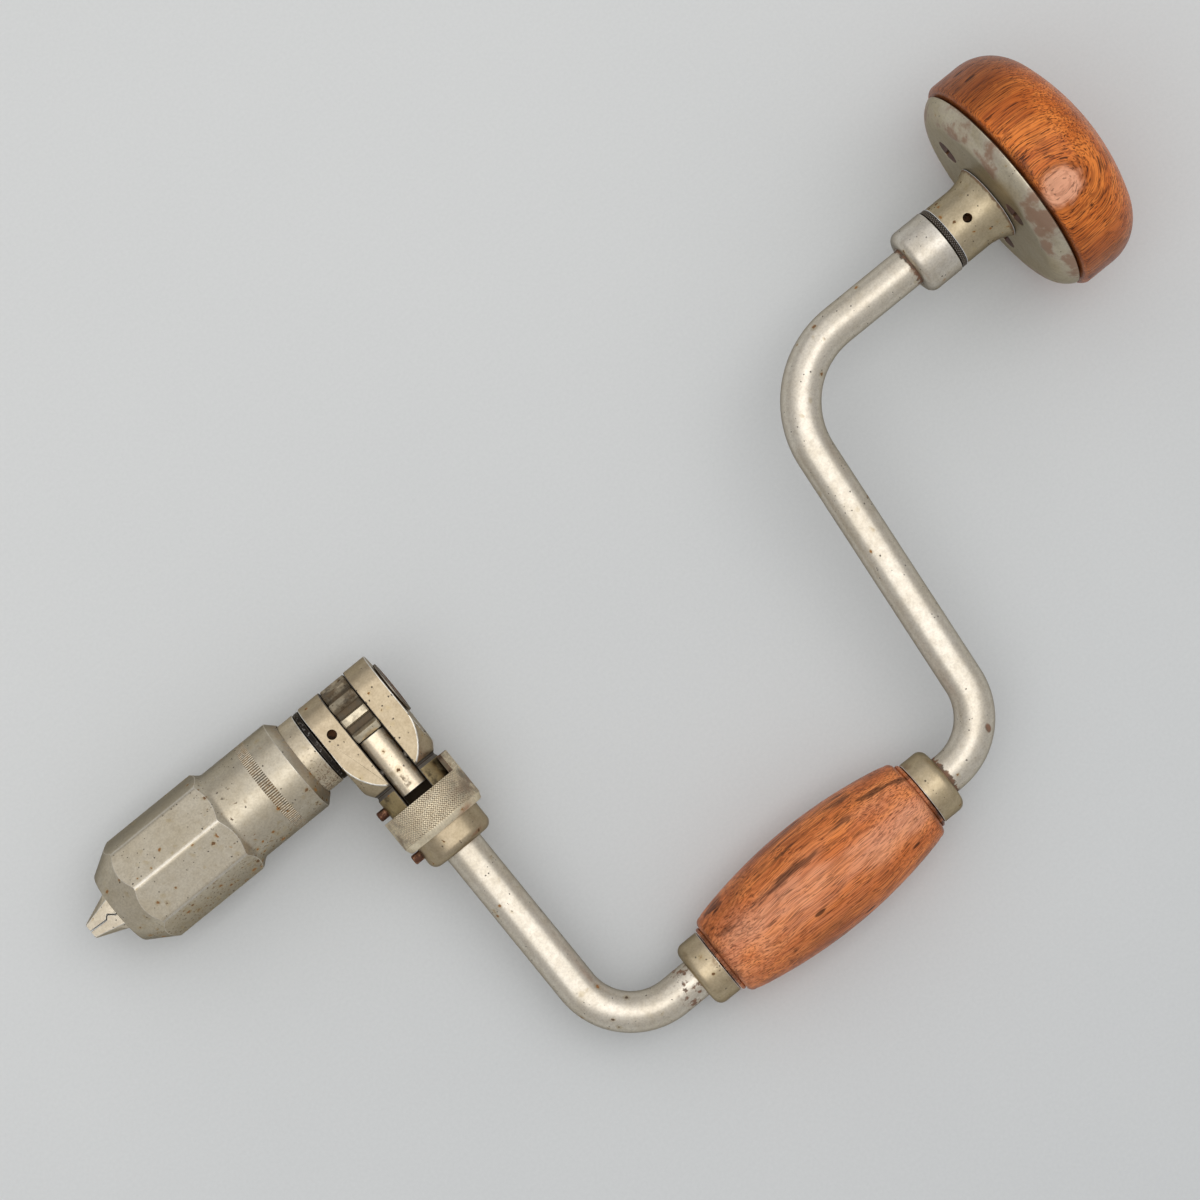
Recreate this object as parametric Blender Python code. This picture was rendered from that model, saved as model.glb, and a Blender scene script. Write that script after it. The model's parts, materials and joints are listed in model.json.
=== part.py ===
"""Ratchet brace: a bent-rod crank with a spinning grip, a turning head, a ratchet box and a screw chuck.

The brace is modelled flat in its own axes, then an empty lays it down as it rests on a table.
Brace axes: X runs along the spindle towards the head, the grip lies at -Y, and Z is square to the crank.
X is 0 where the ratchet arm crosses the spindle. All sizes are in metres.
"""

import math

import bmesh
import bpy
from mathutils import Matrix, Vector

# Clearances and fineness
CLEAR = 0.0003
SEAT = 0.0001
FINE = 32
MEDIUM = 24
COARSE = 16
SHARP_ANGLE = math.radians(30)

# Crank frame
SWEEP_RADIUS = 0.127
ROD_RADIUS = 0.00635
UPPER_ARM_LEAN = 0.0138
ELBOW_RADIUS = 0.021
HEAD_BEND_RADIUS = 0.030

# Grip and its collars
GRIP_START_X = 0.0385
GRIP_LENGTH = 0.0794
GRIP_RADIUS = 0.01825
GRIP_END_RADIUS = 0.0138
GRIP_EDGE = 0.0022
GRIP_COLLAR_RADIUS = 0.0110
GRIP_COLLAR_LENGTH = 0.0085
COLLAR_ROUND = 0.0028

# Head
HEAD_COLLAR_X = 0.2171
HEAD_COLLAR_LENGTH = 0.0122
HEAD_COLLAR_RADIUS = 0.01085
DUST_RING_WIDTH = 0.0016
DUST_RING_WALL = 0.0012
JOURNAL_RADIUS = 0.0050
BALL_RADIUS = 0.0020
BALL_COUNT = 10
BALL_PLAY = 0.0002
NECK_LENGTH = 0.0168
NECK_RADIUS = 0.0104
NECK_FLARE_RADIUS = 0.0128
NECK_SPIGOT_RADIUS = 0.0085
NECK_LIP = 0.0012
NECK_LIP_RADIUS = 0.0105
NECK_OIL_HOLE = 0.0070
OIL_HOLE_RADIUS = 0.0015
PLATE_THICKNESS = 0.0015
PLATE_RIM_CURVE = 0.0095
PLATE_RIM_DEG = 64.86
PLATE_SET_IN = 0.0021
KNOB_RADIUS = 0.0382
KNOB_EDGE = 0.0020
KNOB_SHOULDER = 0.0150
KNOB_CROWN_CURVE = 0.075
KNOB_HEIGHT = 0.0375
KNOB_CAVITY_RADIUS = 0.0125
SCREW_CIRCLE = 0.0198
SCREW_COUNT = 3
SCREW_FIRST_DEG = -5.0
SCREW_HEAD_RADIUS = 0.0041
SCREW_SHANK_RADIUS = 0.0019
SCREW_LENGTH = 0.0160
SCREW_SLOT = 0.0009
NUT_RADIUS = 0.0085
NUT_HEIGHT = 0.0045
WASHER_THICKNESS = 0.0010
WASHER_RADIUS = 0.0095

# Ratchet box, measured along the arm from the spindle axis
BOX_HALF_WIDTH = 0.0130
BOX_HALF_HEIGHT = 0.0104
BOX_END_RADIUS = 0.01275
BOX_LENGTH = 0.0232
BOX_DOME_CURVE = 0.0263
BOX_DOME_START = 0.0070
BOX_GROOVE = 0.0009
SHANK_RADIUS = 0.0114
SLOT_HALF_WIDTH = 0.0048
SLOT_END = 0.0320
SLOT_WEB_HALF_HEIGHT = 0.0012
ROD_SOCKET_START = 0.0335
BOX_OIL_HOLE_X = -0.0089

# Selector ring and its pins
RING_TOP = 0.0312
RING_LENGTH = 0.0120
RING_WALL = 0.0030
RING_BEVEL = 0.0022
HOOD_HEIGHT = 0.0062
HOOD_WALL = 0.0018
HOOD_HALF_DEG = 29.0
RING_STEP = 0.0003
STOP_PIN_RADIUS = 0.0016
STOP_PIN_TO_ROD = 0.00105
STOP_PIN_ABOVE = 0.0012
SHANK_TAIL = 0.0082

# Ratchet wheel and pawls
WHEEL_RADIUS = 0.0125
WHEEL_ROOT_RADIUS = 0.0103
WHEEL_TEETH = 12
LAND_HALF_DEG = 5.5
ROOT_HALF_DEG = 5.5
WHEEL_PIN_RADIUS = 0.0018
WHEEL_PIN_X = -0.0021
PAWL_AXIS_Z = 0.0075
PAWL_PIVOT = 0.0185
PAWL_BITE = 0.0008
PAWL_NOSE_DEG = 130.5
PAWL_BOTTOM_Z = 0.0042
PAWL_TAIL_GAP = 0.0029
PAWL_PIN_RADIUS = 0.0015
PAWL_PIN_LENGTH = 0.0180
SPRING_WIRE_RADIUS = 0.0004
SPRING_COIL_RADIUS = 0.0020
SPRING_TURNS = 4
SPRING_FROM_TAIL = 0.0040

# Chuck spindle, with X negative towards the jaws
JOURNAL_OF_SPINDLE = 0.0070
THRUST_WASHER_WIDTH = 0.0017
THRUST_WASHER_RADIUS = 0.0124
SPINDLE_RADIUS = 0.01255
SOCKET_STEP = 0.00075
SPINDLE_STEP_X = -0.0440
SOCKET_FLOOR = 0.0084
SOCKET_DEPTH = 0.0168
END_RING_WIDTH = 0.0008
END_RING_RADIUS = 0.0088

# Chuck shell and closing ring
SHELL_REAR_X = -0.0210
SHELL_SLEEVE_RADIUS = 0.01585
SHELL_REAR_CHAMFER = 0.0027
SLEEVE_FRONT_X = -0.0470
COVE_RADIUS = 0.0027
COVE_SETBACK = 0.00135
OCTAGON_REAR_X = -0.0512
OCTAGON_LENGTH = 0.0314
OCTAGON_RADIUS = 0.0184
OCTAGON_TURN_DEG = 85.5
TURNED_MARGIN = 0.0023
NOSE_LENGTH = 0.0100
NOSE_RADIUS = 0.0122
NOSE_ROUND = 0.0016
NOSE_LIP = 0.0023
NOSE_WALL = 0.0017
NOSE_HOLE_RADIUS = 0.0096
COUNTERBORE_END_X = -0.0580
CLOSING_RING_LENGTH = 0.0135
CLOSING_RING_RADIUS = 0.0140

# Jaws
JAW_TIP_LENGTH = 0.0107
JAW_TIP_FLAT = 0.00225
JAW_TIP_HALF_WIDTH = 0.0026
JAW_TIP_SIDE = 0.0014
JAW_TIP_HALF_HEIGHT = 0.0030
JAW_ZIGZAG = ((0.0046, -0.0003), (0.0034, 0.0008), (0.0010, -0.0008))
JAW_TOP_CORNER_DEG = 51.7
JAW_SIDE_CORNER_DEG = 26.6
JAW_NOSE_REACH = 0.0076
JAW_WIDE_LENGTH = 0.0057
JAW_WIDE_REACH = 0.0116
JAW_SHOULDER_STEP = 0.0007
JAW_SHOULDER_GAP = 0.0004
JAW_TANG_GAP = 0.0008
JAW_TANG_REACH = 0.0095
JAW_TANG_HALF_HEIGHT = 0.0052
JAW_PIVOT_INSET = 0.0018
JAW_PIVOT_Y = 0.0050
JAW_SPLIT_HALF_GAP = 0.00015
JAW_RELIEF = 0.0034
JAW_HEEL = 0.0036
JAW_GROOVE = 0.0020
JAW_SPRING_STRIP = 0.0006
JAW_SPRING_HALF_HEIGHT = 0.0020

# Local Z of a turned piece is laid along the spindle or down the ratchet arm.
ALONG_SPINDLE = (math.pi / 2, 0.0, math.pi / 2)
ALONG_ARM = (math.pi / 2, 0.0, 0.0)
ALONG_BRACE = (0.0, 0.0, 0.0)

FINISHES = {
    "nickel": ((0.62, 0.58, 0.50), 0.32, 1.0),
    "dark_steel": ((0.09, 0.085, 0.08), 0.55, 0.9),
    "copper_pin": ((0.55, 0.30, 0.18), 0.45, 1.0),
    "bright_steel": ((0.68, 0.66, 0.62), 0.25, 1.0),
    "varnished_wood": ((0.42, 0.16, 0.05), 0.38, 0.0),
}


def clear_scene():
    for thing in list(bpy.data.objects):
        bpy.data.objects.remove(thing, do_unlink=True)


def finish(name):
    """The named finish as a Principled material, made once."""
    if name in bpy.data.materials:
        return bpy.data.materials[name]
    colour, roughness, metallic = FINISHES[name]
    material = bpy.data.materials.new(name)
    material.use_nodes = True
    shader = material.node_tree.nodes["Principled BSDF"]
    shader.inputs["Base Color"].default_value = (*colour, 1.0)
    shader.inputs["Roughness"].default_value = roughness
    shader.inputs["Metallic"].default_value = metallic
    return material


def empty(name, parent=None, location=(0.0, 0.0, 0.0)):
    holder = bpy.data.objects.new(name, None)
    holder.location = location
    holder.parent = parent
    bpy.context.scene.collection.objects.link(holder)
    return holder


def place(name, shape, parent, rotation=ALONG_BRACE, location=(0.0, 0.0, 0.0), look=None):
    """Turn a bmesh into an object; without a look it is a cutter that only Booleans use."""
    bmesh.ops.remove_doubles(shape, verts=shape.verts[:], dist=1e-7)
    bmesh.ops.recalc_face_normals(shape, faces=shape.faces[:])
    mesh = bpy.data.meshes.new(name)
    shape.to_mesh(mesh)
    shape.free()
    mesh.shade_smooth()
    mesh.set_sharp_from_angle(angle=SHARP_ANGLE)
    thing = bpy.data.objects.new(name, mesh)
    thing.parent = parent
    thing.rotation_euler = rotation
    thing.location = location
    bpy.context.scene.collection.objects.link(thing)
    if look:
        mesh.materials.append(finish(look))
    else:
        thing.hide_render = True
        thing.display_type = "WIRE"
    return thing


def combine(target, other, operation, solver="EXACT"):
    modifier = target.modifiers.new(f"{operation.lower()}_{other.name}", "BOOLEAN")
    modifier.object = other
    modifier.operation = operation
    modifier.solver = solver


def bore(radius, segments=MEDIUM, gap=CLEAR):
    """Corner radius of a faceted hole whose flats clear a shaft of this radius."""
    return (radius + gap) / math.cos(math.pi / segments)


def rounded(corners, steps=4):
    """Points of an open outline whose corners (a, b, radius) are rounded off with arcs."""
    points = []
    for index, (a, b, radius) in enumerate(corners):
        here = Vector((a, b))
        if not radius:
            points.append((a, b))
            continue
        back = (Vector(corners[index - 1][:2]) - here).normalized()
        ahead = (Vector(corners[index + 1][:2]) - here).normalized()
        half = back.angle(ahead) / 2
        centre = here + (back + ahead).normalized() * radius / math.sin(half)
        start = here + back * radius / math.tan(half) - centre
        end = here + ahead * radius / math.tan(half) - centre
        turn = start.angle_signed(end)
        for step in range(steps + 1):
            spoke = start.copy()
            spoke.rotate(Matrix.Rotation(-turn * step / steps, 2))
            points.append(tuple(centre + spoke))
    return points


def lathe(profile, segments=MEDIUM, ring=False):
    """Spin a profile of (along, radius) points about Z; a ring's profile is a closed loop."""
    shape = bmesh.new()
    # Half a step of turn keeps the facets' edges off the planes that drills and slots lie in.
    start = math.pi / segments
    corners = []
    for along, radius in profile:
        corners.append(shape.verts.new((radius * math.cos(start), radius * math.sin(start), along)))
    edges = [shape.edges.new(pair) for pair in zip(corners, corners[1:])]
    if ring:
        edges.append(shape.edges.new((corners[-1], corners[0])))
    bmesh.ops.spin(
        shape,
        geom=corners + edges,
        cent=(0.0, 0.0, 0.0),
        axis=(0.0, 0.0, 1.0),
        angle=2 * math.pi,
        steps=segments,
        use_merge=True,
    )
    return shape


def rod(radius, start, end, segments=COARSE):
    """A plain round bar along Z."""
    return lathe([(start, 0.0), (start, radius), (end, radius), (end, 0.0)], segments)


def prism(outline, low, high):
    """Extrude an outline in XY from one height to another."""
    shape = bmesh.new()
    base = shape.faces.new([shape.verts.new((a, b, low)) for a, b in outline])
    lifted = bmesh.ops.extrude_face_region(shape, geom=[base])["geom"]
    corners = [item for item in lifted if isinstance(item, bmesh.types.BMVert)]
    bmesh.ops.translate(shape, verts=corners, vec=(0.0, 0.0, high - low))
    return shape


def block(low, high):
    """A box between two corners."""
    outline = [(low[0], low[1]), (high[0], low[1]), (high[0], high[1]), (low[0], high[1])]
    return prism(outline, low[2], high[2])


def loft(sections):
    """Skin a row of sections, each a closed loop with the same number of points."""
    shape = bmesh.new()
    loops = [[shape.verts.new(point) for point in section] for section in sections]
    for before, after in zip(loops, loops[1:]):
        for index in range(len(before)):
            beside = (index + 1) % len(before)
            shape.faces.new((before[index], before[beside], after[beside], after[index]))
    shape.faces.new(loops[0])
    shape.faces.new(loops[-1])
    return shape


def sweep(route, sides):
    """Sweep a circle along a flat route of (x, y, radius) points."""
    spots = [Vector((x, y, 0.0)) for x, y, _ in route]
    sections = []
    for index, spot in enumerate(spots):
        ahead = (spots[min(index + 1, len(spots) - 1)] - spot).normalized()
        behind = (spot - spots[max(index - 1, 0)]).normalized()
        along = (ahead + behind).normalized()
        across = Vector((-along.y, along.x, 0.0))
        radius = route[index][2]
        section = []
        for side in range(sides):
            turn = 2 * math.pi * side / sides
            offset = across * math.cos(turn) + Vector((0.0, 0.0, math.sin(turn)))
            section.append(spot + offset * radius)
        sections.append(section)
    return loft(sections)


def polar(radius, degrees):
    turn = math.radians(degrees)
    return radius * math.cos(turn), radius * math.sin(turn)


# Places that several pieces share
GRIP_END_X = GRIP_START_X + GRIP_LENGTH
ARM_TO_ARM = GRIP_END_X + CLEAR + GRIP_COLLAR_LENGTH + SEAT + ELBOW_RADIUS
UPPER_CORNER_X = ARM_TO_ARM + UPPER_ARM_LEAN
HEAD_COLLAR_END_X = HEAD_COLLAR_X + HEAD_COLLAR_LENGTH
NECK_X = HEAD_COLLAR_END_X + DUST_RING_WIDTH + 2 * CLEAR
PLATE_X = NECK_X + NECK_LENGTH + CLEAR
SPIGOT_END_X = PLATE_X + PLATE_THICKNESS + CLEAR
WASHER_X = SPIGOT_END_X + NECK_LIP + CLEAR
NUT_X = WASHER_X + WASHER_THICKNESS + CLEAR
JOURNAL_END_X = NUT_X + NUT_HEIGHT + 2 * CLEAR
KNOB_SEAT_X = PLATE_X + PLATE_THICKNESS + CLEAR
PLATE_RIM_RADIUS = KNOB_RADIUS - PLATE_SET_IN
SCREW_CONE = SCREW_HEAD_RADIUS - SCREW_SHANK_RADIUS
RACE_DEPTH = BALL_RADIUS + CLEAR - (NECK_X - HEAD_COLLAR_END_X) / 2
BALL_CIRCLE = JOURNAL_RADIUS + BALL_PLAY + BALL_RADIUS
DUST_RING_RADIUS = BALL_CIRCLE + BALL_RADIUS + BALL_PLAY + DUST_RING_WALL
RACE_OUTER = BALL_CIRCLE + BALL_RADIUS + CLEAR
RING_RADIUS = SHANK_RADIUS + RING_WALL
RING_BOTTOM = RING_TOP + RING_LENGTH
SHANK_END = RING_BOTTOM + SHANK_TAIL
PAWL_TAIL = RING_TOP - PAWL_TAIL_GAP
SPRING_ALONG = PAWL_TAIL - SPRING_FROM_TAIL
THRUST_WASHER_X = -(BOX_HALF_WIDTH + CLEAR + THRUST_WASHER_WIDTH)
SPINDLE_COLLAR_X = THRUST_WASHER_X - CLEAR
SPINDLE_END_X = BOX_HALF_WIDTH + CLEAR + END_RING_WIDTH
SOCKET_RADIUS = SPINDLE_RADIUS - SOCKET_STEP
SOCKET_FLOOR_X = SPINDLE_STEP_X - SOCKET_FLOOR
SOCKET_FRONT_X = SOCKET_FLOOR_X - SOCKET_DEPTH
OCTAGON_FRONT_X = OCTAGON_REAR_X - OCTAGON_LENGTH
NOSE_X = OCTAGON_FRONT_X - NOSE_LENGTH
CLOSING_RING_X = NOSE_X + NOSE_LIP + CLEAR
JAW_TIP_X = NOSE_X - JAW_TIP_LENGTH
JAW_TANG_X = SOCKET_FRONT_X - JAW_SHOULDER_GAP
JAW_SHOULDER_X = JAW_TANG_X - JAW_SHOULDER_STEP
JAW_WIDE_X = JAW_SHOULDER_X - JAW_WIDE_LENGTH
JAW_RELIEF_X = JAW_TANG_X + JAW_HEEL
JAW_TANG_END_X = SOCKET_FLOOR_X - JAW_TANG_GAP
JAW_PIVOT_X = JAW_TANG_END_X - JAW_PIVOT_INSET


def build_crank_frame(brace):
    corners = [
        (0.0, -(ROD_SOCKET_START + CLEAR), 0.0),
        (0.0, -SWEEP_RADIUS, ELBOW_RADIUS),
        (ARM_TO_ARM, -SWEEP_RADIUS, ELBOW_RADIUS),
        (UPPER_CORNER_X, 0.0, HEAD_BEND_RADIUS),
        (HEAD_COLLAR_X + HEAD_COLLAR_LENGTH / 2, 0.0, 0.0),
    ]
    route = [(x, y, ROD_RADIUS) for x, y in rounded(corners, steps=9)]
    sections = sweep(route, COARSE)
    frame = place("crank_frame", sections, brace, look="nickel")
    # The journal starts half-way down the collar, sunk a little into the rod.
    overlap = 5 * CLEAR
    journal = rod(JOURNAL_RADIUS, route[-1][0] - overlap, JOURNAL_END_X)
    combine(frame, place("journal_blank", journal, brace, ALONG_SPINDLE), "UNION")
    return frame


def collar_profile(start, length, radius, hole, rounded_start):
    """A collar with its outer end rounded, as a closed ring profile."""
    end = start + length
    near, far = (COLLAR_ROUND, 0.0) if rounded_start else (0.0, COLLAR_ROUND)
    return rounded([(start, hole, 0.0), (start, radius, near), (end, radius, far), (end, hole, 0.0)])


def build_grip(brace):
    axis = empty("grip_axis", brace, (0.0, -SWEEP_RADIUS, 0.0))
    hole = bore(ROD_RADIUS, gap=SEAT)
    near = GRIP_START_X - CLEAR - GRIP_COLLAR_LENGTH
    for name, start, first in (
        ("grip_collar_ratchet_side", near, True),
        ("grip_collar_head_side", GRIP_END_X + CLEAR, False),
    ):
        profile = collar_profile(start, GRIP_COLLAR_LENGTH, GRIP_COLLAR_RADIUS, hole, first)
        place(name, lathe(profile, MEDIUM, ring=True), axis, ALONG_SPINDLE, look="nickel")
    wood_hole = bore(ROD_RADIUS)
    steps = 10
    profile = [(GRIP_START_X, wood_hole), (GRIP_START_X, GRIP_END_RADIUS - GRIP_EDGE)]
    for step in range(steps + 1):
        share = step / steps
        bulge = (GRIP_RADIUS - GRIP_END_RADIUS) * math.sin(math.pi * share) ** 0.8
        along = GRIP_START_X + GRIP_EDGE + (GRIP_LENGTH - 2 * GRIP_EDGE) * share
        profile.append((along, GRIP_END_RADIUS + bulge))
    profile += [(GRIP_END_X, GRIP_END_RADIUS - GRIP_EDGE), (GRIP_END_X, wood_hole)]
    place("handle_grip", lathe(profile, MEDIUM, ring=True), axis, ALONG_SPINDLE, look="varnished_wood")


def build_head_bearing(axis):
    """Head collar, thrust balls and the ring that keeps dust out of them."""
    hole = bore(ROD_RADIUS, gap=SEAT)
    race = HEAD_COLLAR_END_X - RACE_DEPTH
    profile = rounded(
        [
            (HEAD_COLLAR_X, hole, 0.0),
            (HEAD_COLLAR_X, HEAD_COLLAR_RADIUS, COLLAR_ROUND),
            (HEAD_COLLAR_END_X, HEAD_COLLAR_RADIUS, 0.0),
            (HEAD_COLLAR_END_X, RACE_OUTER, 0.0),
            (race, RACE_OUTER, 0.0),
            (race, hole, 0.0),
        ]
    )
    place("head_collar", lathe(profile, MEDIUM, ring=True), axis, ALONG_SPINDLE, look="nickel")
    start = HEAD_COLLAR_END_X + CLEAR
    end = start + DUST_RING_WIDTH
    inner = DUST_RING_RADIUS - DUST_RING_WALL
    profile = [(start, inner), (start, DUST_RING_RADIUS), (end, DUST_RING_RADIUS), (end, inner)]
    place("head_dust_ring", lathe(profile, MEDIUM, ring=True), axis, ALONG_SPINDLE, look="dark_steel")
    middle = (HEAD_COLLAR_END_X + NECK_X) / 2
    for index in range(BALL_COUNT):
        shape = bmesh.new()
        bmesh.ops.create_icosphere(shape, subdivisions=2, radius=BALL_RADIUS)
        y, z = polar(BALL_CIRCLE, 360 * index / BALL_COUNT)
        place(f"head_ball_{index + 1:02d}", shape, axis, location=(middle, y, z), look="bright_steel")


def build_head_neck(axis):
    hole = bore(JOURNAL_RADIUS, COARSE)
    flare_start = NECK_X + NECK_LENGTH / 2
    neck_end = NECK_X + NECK_LENGTH
    race = NECK_X + RACE_DEPTH
    profile = [(race, hole), (race, RACE_OUTER), (NECK_X, RACE_OUTER), (NECK_X, NECK_RADIUS)]
    steps = 5
    for step in range(steps + 1):
        share = step / steps
        along = flare_start + (neck_end - flare_start) * share
        profile.append((along, NECK_RADIUS + (NECK_FLARE_RADIUS - NECK_RADIUS) * share**2))
    lip_end = SPIGOT_END_X + NECK_LIP
    profile += [
        (neck_end, NECK_SPIGOT_RADIUS),
        (SPIGOT_END_X, NECK_SPIGOT_RADIUS),
        (SPIGOT_END_X, NECK_LIP_RADIUS),
        (lip_end, NECK_LIP_RADIUS),
        (lip_end, hole),
    ]
    neck = place("head_neck", lathe(profile, MEDIUM, ring=True), axis, ALONG_SPINDLE, look="nickel")
    drill = rod(OIL_HOLE_RADIUS, JOURNAL_RADIUS, NECK_FLARE_RADIUS, COARSE)
    spot = (NECK_X + NECK_OIL_HOLE, 0.0, 0.0)
    combine(neck, place("neck_oil_drill", drill, axis, location=spot), "DIFFERENCE")


def plate_curve(offset, steps=4):
    """The dished plate's outer face, moved inwards by an offset, from its flat out to the rim."""
    radius = PLATE_RIM_CURVE - offset
    last = math.radians(PLATE_RIM_DEG)
    flat = PLATE_RIM_RADIUS - PLATE_RIM_CURVE * math.sin(last)
    points = []
    for step in range(steps + 1):
        turn = last * step / steps
        along = PLATE_X + PLATE_RIM_CURVE - radius * math.cos(turn)
        points.append((along, flat + radius * math.sin(turn)))
    return points


def build_head_plate(axis):
    hole = bore(NECK_SPIGOT_RADIUS)
    outer = [(PLATE_X, hole)] + plate_curve(0.0)
    inner = plate_curve(PLATE_THICKNESS)[::-1] + [(PLATE_X + PLATE_THICKNESS, hole)]
    shape = lathe(outer + inner, FINE, ring=True)
    plate = place("head_plate", shape, axis, ALONG_SPINDLE, look="nickel")
    # The knob fills the dish, leaving a hollow over the nut.
    cavity_end = JOURNAL_END_X + 2 * CLEAR
    back = plate_curve(PLATE_THICKNESS + CLEAR)
    rim_x = back[-1][0]
    crown_x = PLATE_X + KNOB_HEIGHT
    crown_centre = crown_x - KNOB_CROWN_CURVE
    shoulder_radius = KNOB_RADIUS - KNOB_SHOULDER
    reach = KNOB_CROWN_CURVE - KNOB_SHOULDER
    shoulder_x = crown_centre + math.sqrt(reach**2 - shoulder_radius**2)
    blend = math.atan2(shoulder_radius, shoulder_x - crown_centre)
    profile = [(cavity_end, 0.0), (cavity_end, KNOB_CAVITY_RADIUS), (KNOB_SEAT_X, KNOB_CAVITY_RADIUS)]
    profile += back
    profile += [(rim_x + CLEAR, KNOB_RADIUS - KNOB_EDGE / 2), (rim_x + KNOB_EDGE, KNOB_RADIUS)]
    steps = 5
    for step in range(steps + 1):
        turn = math.pi / 2 + (blend - math.pi / 2) * step / steps
        along = shoulder_x + KNOB_SHOULDER * math.cos(turn)
        profile.append((along, shoulder_radius + KNOB_SHOULDER * math.sin(turn)))
    for step in range(1, 5):
        turn = blend * (1 - step / 5)
        along = crown_centre + KNOB_CROWN_CURVE * math.cos(turn)
        profile.append((along, KNOB_CROWN_CURVE * math.sin(turn)))
    profile.append((crown_x, 0.0))
    knob = place("head_knob", lathe(profile, FINE), axis, ALONG_SPINDLE, look="varnished_wood")
    return plate, knob


def screw_profile(gap):
    """A countersunk screw from its flat head, with a gap all round for the hole that takes it."""
    tip = SCREW_LENGTH + gap
    return [
        (-gap, 0.0),
        (-gap, SCREW_HEAD_RADIUS + gap),
        (SCREW_CONE, SCREW_SHANK_RADIUS + gap),
        (tip - SCREW_CONE, SCREW_SHANK_RADIUS + gap),
        (tip, 0.0),
    ]


def build_head_screws(axis, plate, knob):
    for index in range(SCREW_COUNT):
        y, z = polar(SCREW_CIRCLE, SCREW_FIRST_DEG + 360 * index / SCREW_COUNT)
        spot = (PLATE_X + SEAT, y, z)
        shape = lathe(screw_profile(0.0), COARSE)
        screw = place(f"head_screw_{index + 1}", shape, axis, ALONG_SPINDLE, spot, "dark_steel")
        half = SCREW_SLOT / 2
        slot = block((-half, -2 * SCREW_HEAD_RADIUS, -CLEAR), (half, 2 * SCREW_HEAD_RADIUS, SCREW_SLOT))
        combine(screw, place(f"slot_saw_{index + 1}", slot, axis, ALONG_SPINDLE, spot), "DIFFERENCE")
        drill = lathe(screw_profile(CLEAR), COARSE)
        cutter = place(f"screw_drill_{index + 1}", drill, axis, ALONG_SPINDLE, spot)
        combine(plate, cutter, "DIFFERENCE")
        combine(knob, cutter, "DIFFERENCE")


def build_head(brace):
    axis = empty("head_axis", brace)
    build_head_bearing(axis)
    build_head_neck(axis)
    plate, knob = build_head_plate(axis)
    build_head_screws(axis, plate, knob)
    hole = bore(JOURNAL_RADIUS, MEDIUM)
    end = WASHER_X + WASHER_THICKNESS
    profile = [(WASHER_X, hole), (WASHER_X, WASHER_RADIUS), (end, WASHER_RADIUS), (end, hole)]
    place("head_washer", lathe(profile, MEDIUM, ring=True), axis, ALONG_SPINDLE, look="bright_steel")
    outline = [polar(NUT_RADIUS, 60 * side) for side in range(6)]
    shape = prism(outline, NUT_X, NUT_X + NUT_HEIGHT)
    nut = place("head_nut", shape, axis, ALONG_SPINDLE, look="dark_steel")
    thread = rod(bore(JOURNAL_RADIUS, COARSE, SEAT), WASHER_X, JOURNAL_END_X, COARSE)
    combine(nut, place("nut_drill", thread, axis, ALONG_SPINDLE), "DIFFERENCE")


def box_blank(brace):
    """The forged block, rounded over the spindle and turned to a dome where it meets the shank.

    Dome, block and shank meet in slivers that the exact solver can lose at another size, so the box
    is cut with the manifold solver.
    """
    reach = BOX_END_RADIUS
    flat = math.degrees(math.asin(BOX_HALF_HEIGHT / reach))
    outline = [polar(reach, -flat + 2 * flat * step / 10) for step in range(11)]
    foot = -BOX_LENGTH - CLEAR
    outline += [(foot, BOX_HALF_HEIGHT), (foot, -BOX_HALF_HEIGHT)]
    shape = prism(outline, -BOX_HALF_WIDTH, BOX_HALF_WIDTH)
    box = place("ratchet_box", shape, brace, ALONG_SPINDLE, look="nickel")
    corner = math.hypot(BOX_HALF_WIDTH, BOX_HALF_HEIGHT)
    past_end = -2 * BOX_END_RADIUS
    profile = [(past_end, 0.0), (past_end, 2 * corner), (BOX_DOME_START / 2, 2 * corner)]
    steps = 6
    last = math.asin((BOX_LENGTH - BOX_DOME_START) / BOX_DOME_CURVE)
    for step in range(steps + 1):
        turn = last * step / steps
        along = BOX_DOME_START + BOX_DOME_CURVE * math.sin(turn)
        profile.append((along, corner + SEAT - BOX_DOME_CURVE * (1 - math.cos(turn))))
    profile.append((BOX_LENGTH, 0.0))
    dome = place("dome_blank", lathe(profile, FINE), brace, ALONG_ARM)
    combine(box, dome, "INTERSECT", "MANIFOLD")
    neck = SHANK_RADIUS - BOX_GROOVE / 2
    shank_start = BOX_LENGTH + BOX_GROOVE
    profile = rounded(
        [
            (BOX_LENGTH / 2, 0.0, 0.0),
            (BOX_LENGTH / 2, BOX_HALF_HEIGHT / 2, 0.0),
            (BOX_LENGTH - CLEAR, BOX_HALF_HEIGHT / 2, 0.0),
            (BOX_LENGTH - CLEAR, neck, 0.0),
            (shank_start, neck, 0.0),
            (shank_start + BOX_GROOVE / 2, SHANK_RADIUS, 0.0),
            (SHANK_END, SHANK_RADIUS, COLLAR_ROUND),
            (SHANK_END, 0.0, 0.0),
        ]
    )
    shank = place("shank_blank", lathe(profile, FINE), brace, ALONG_ARM)
    combine(box, shank, "UNION", "MANIFOLD")
    return box


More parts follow.
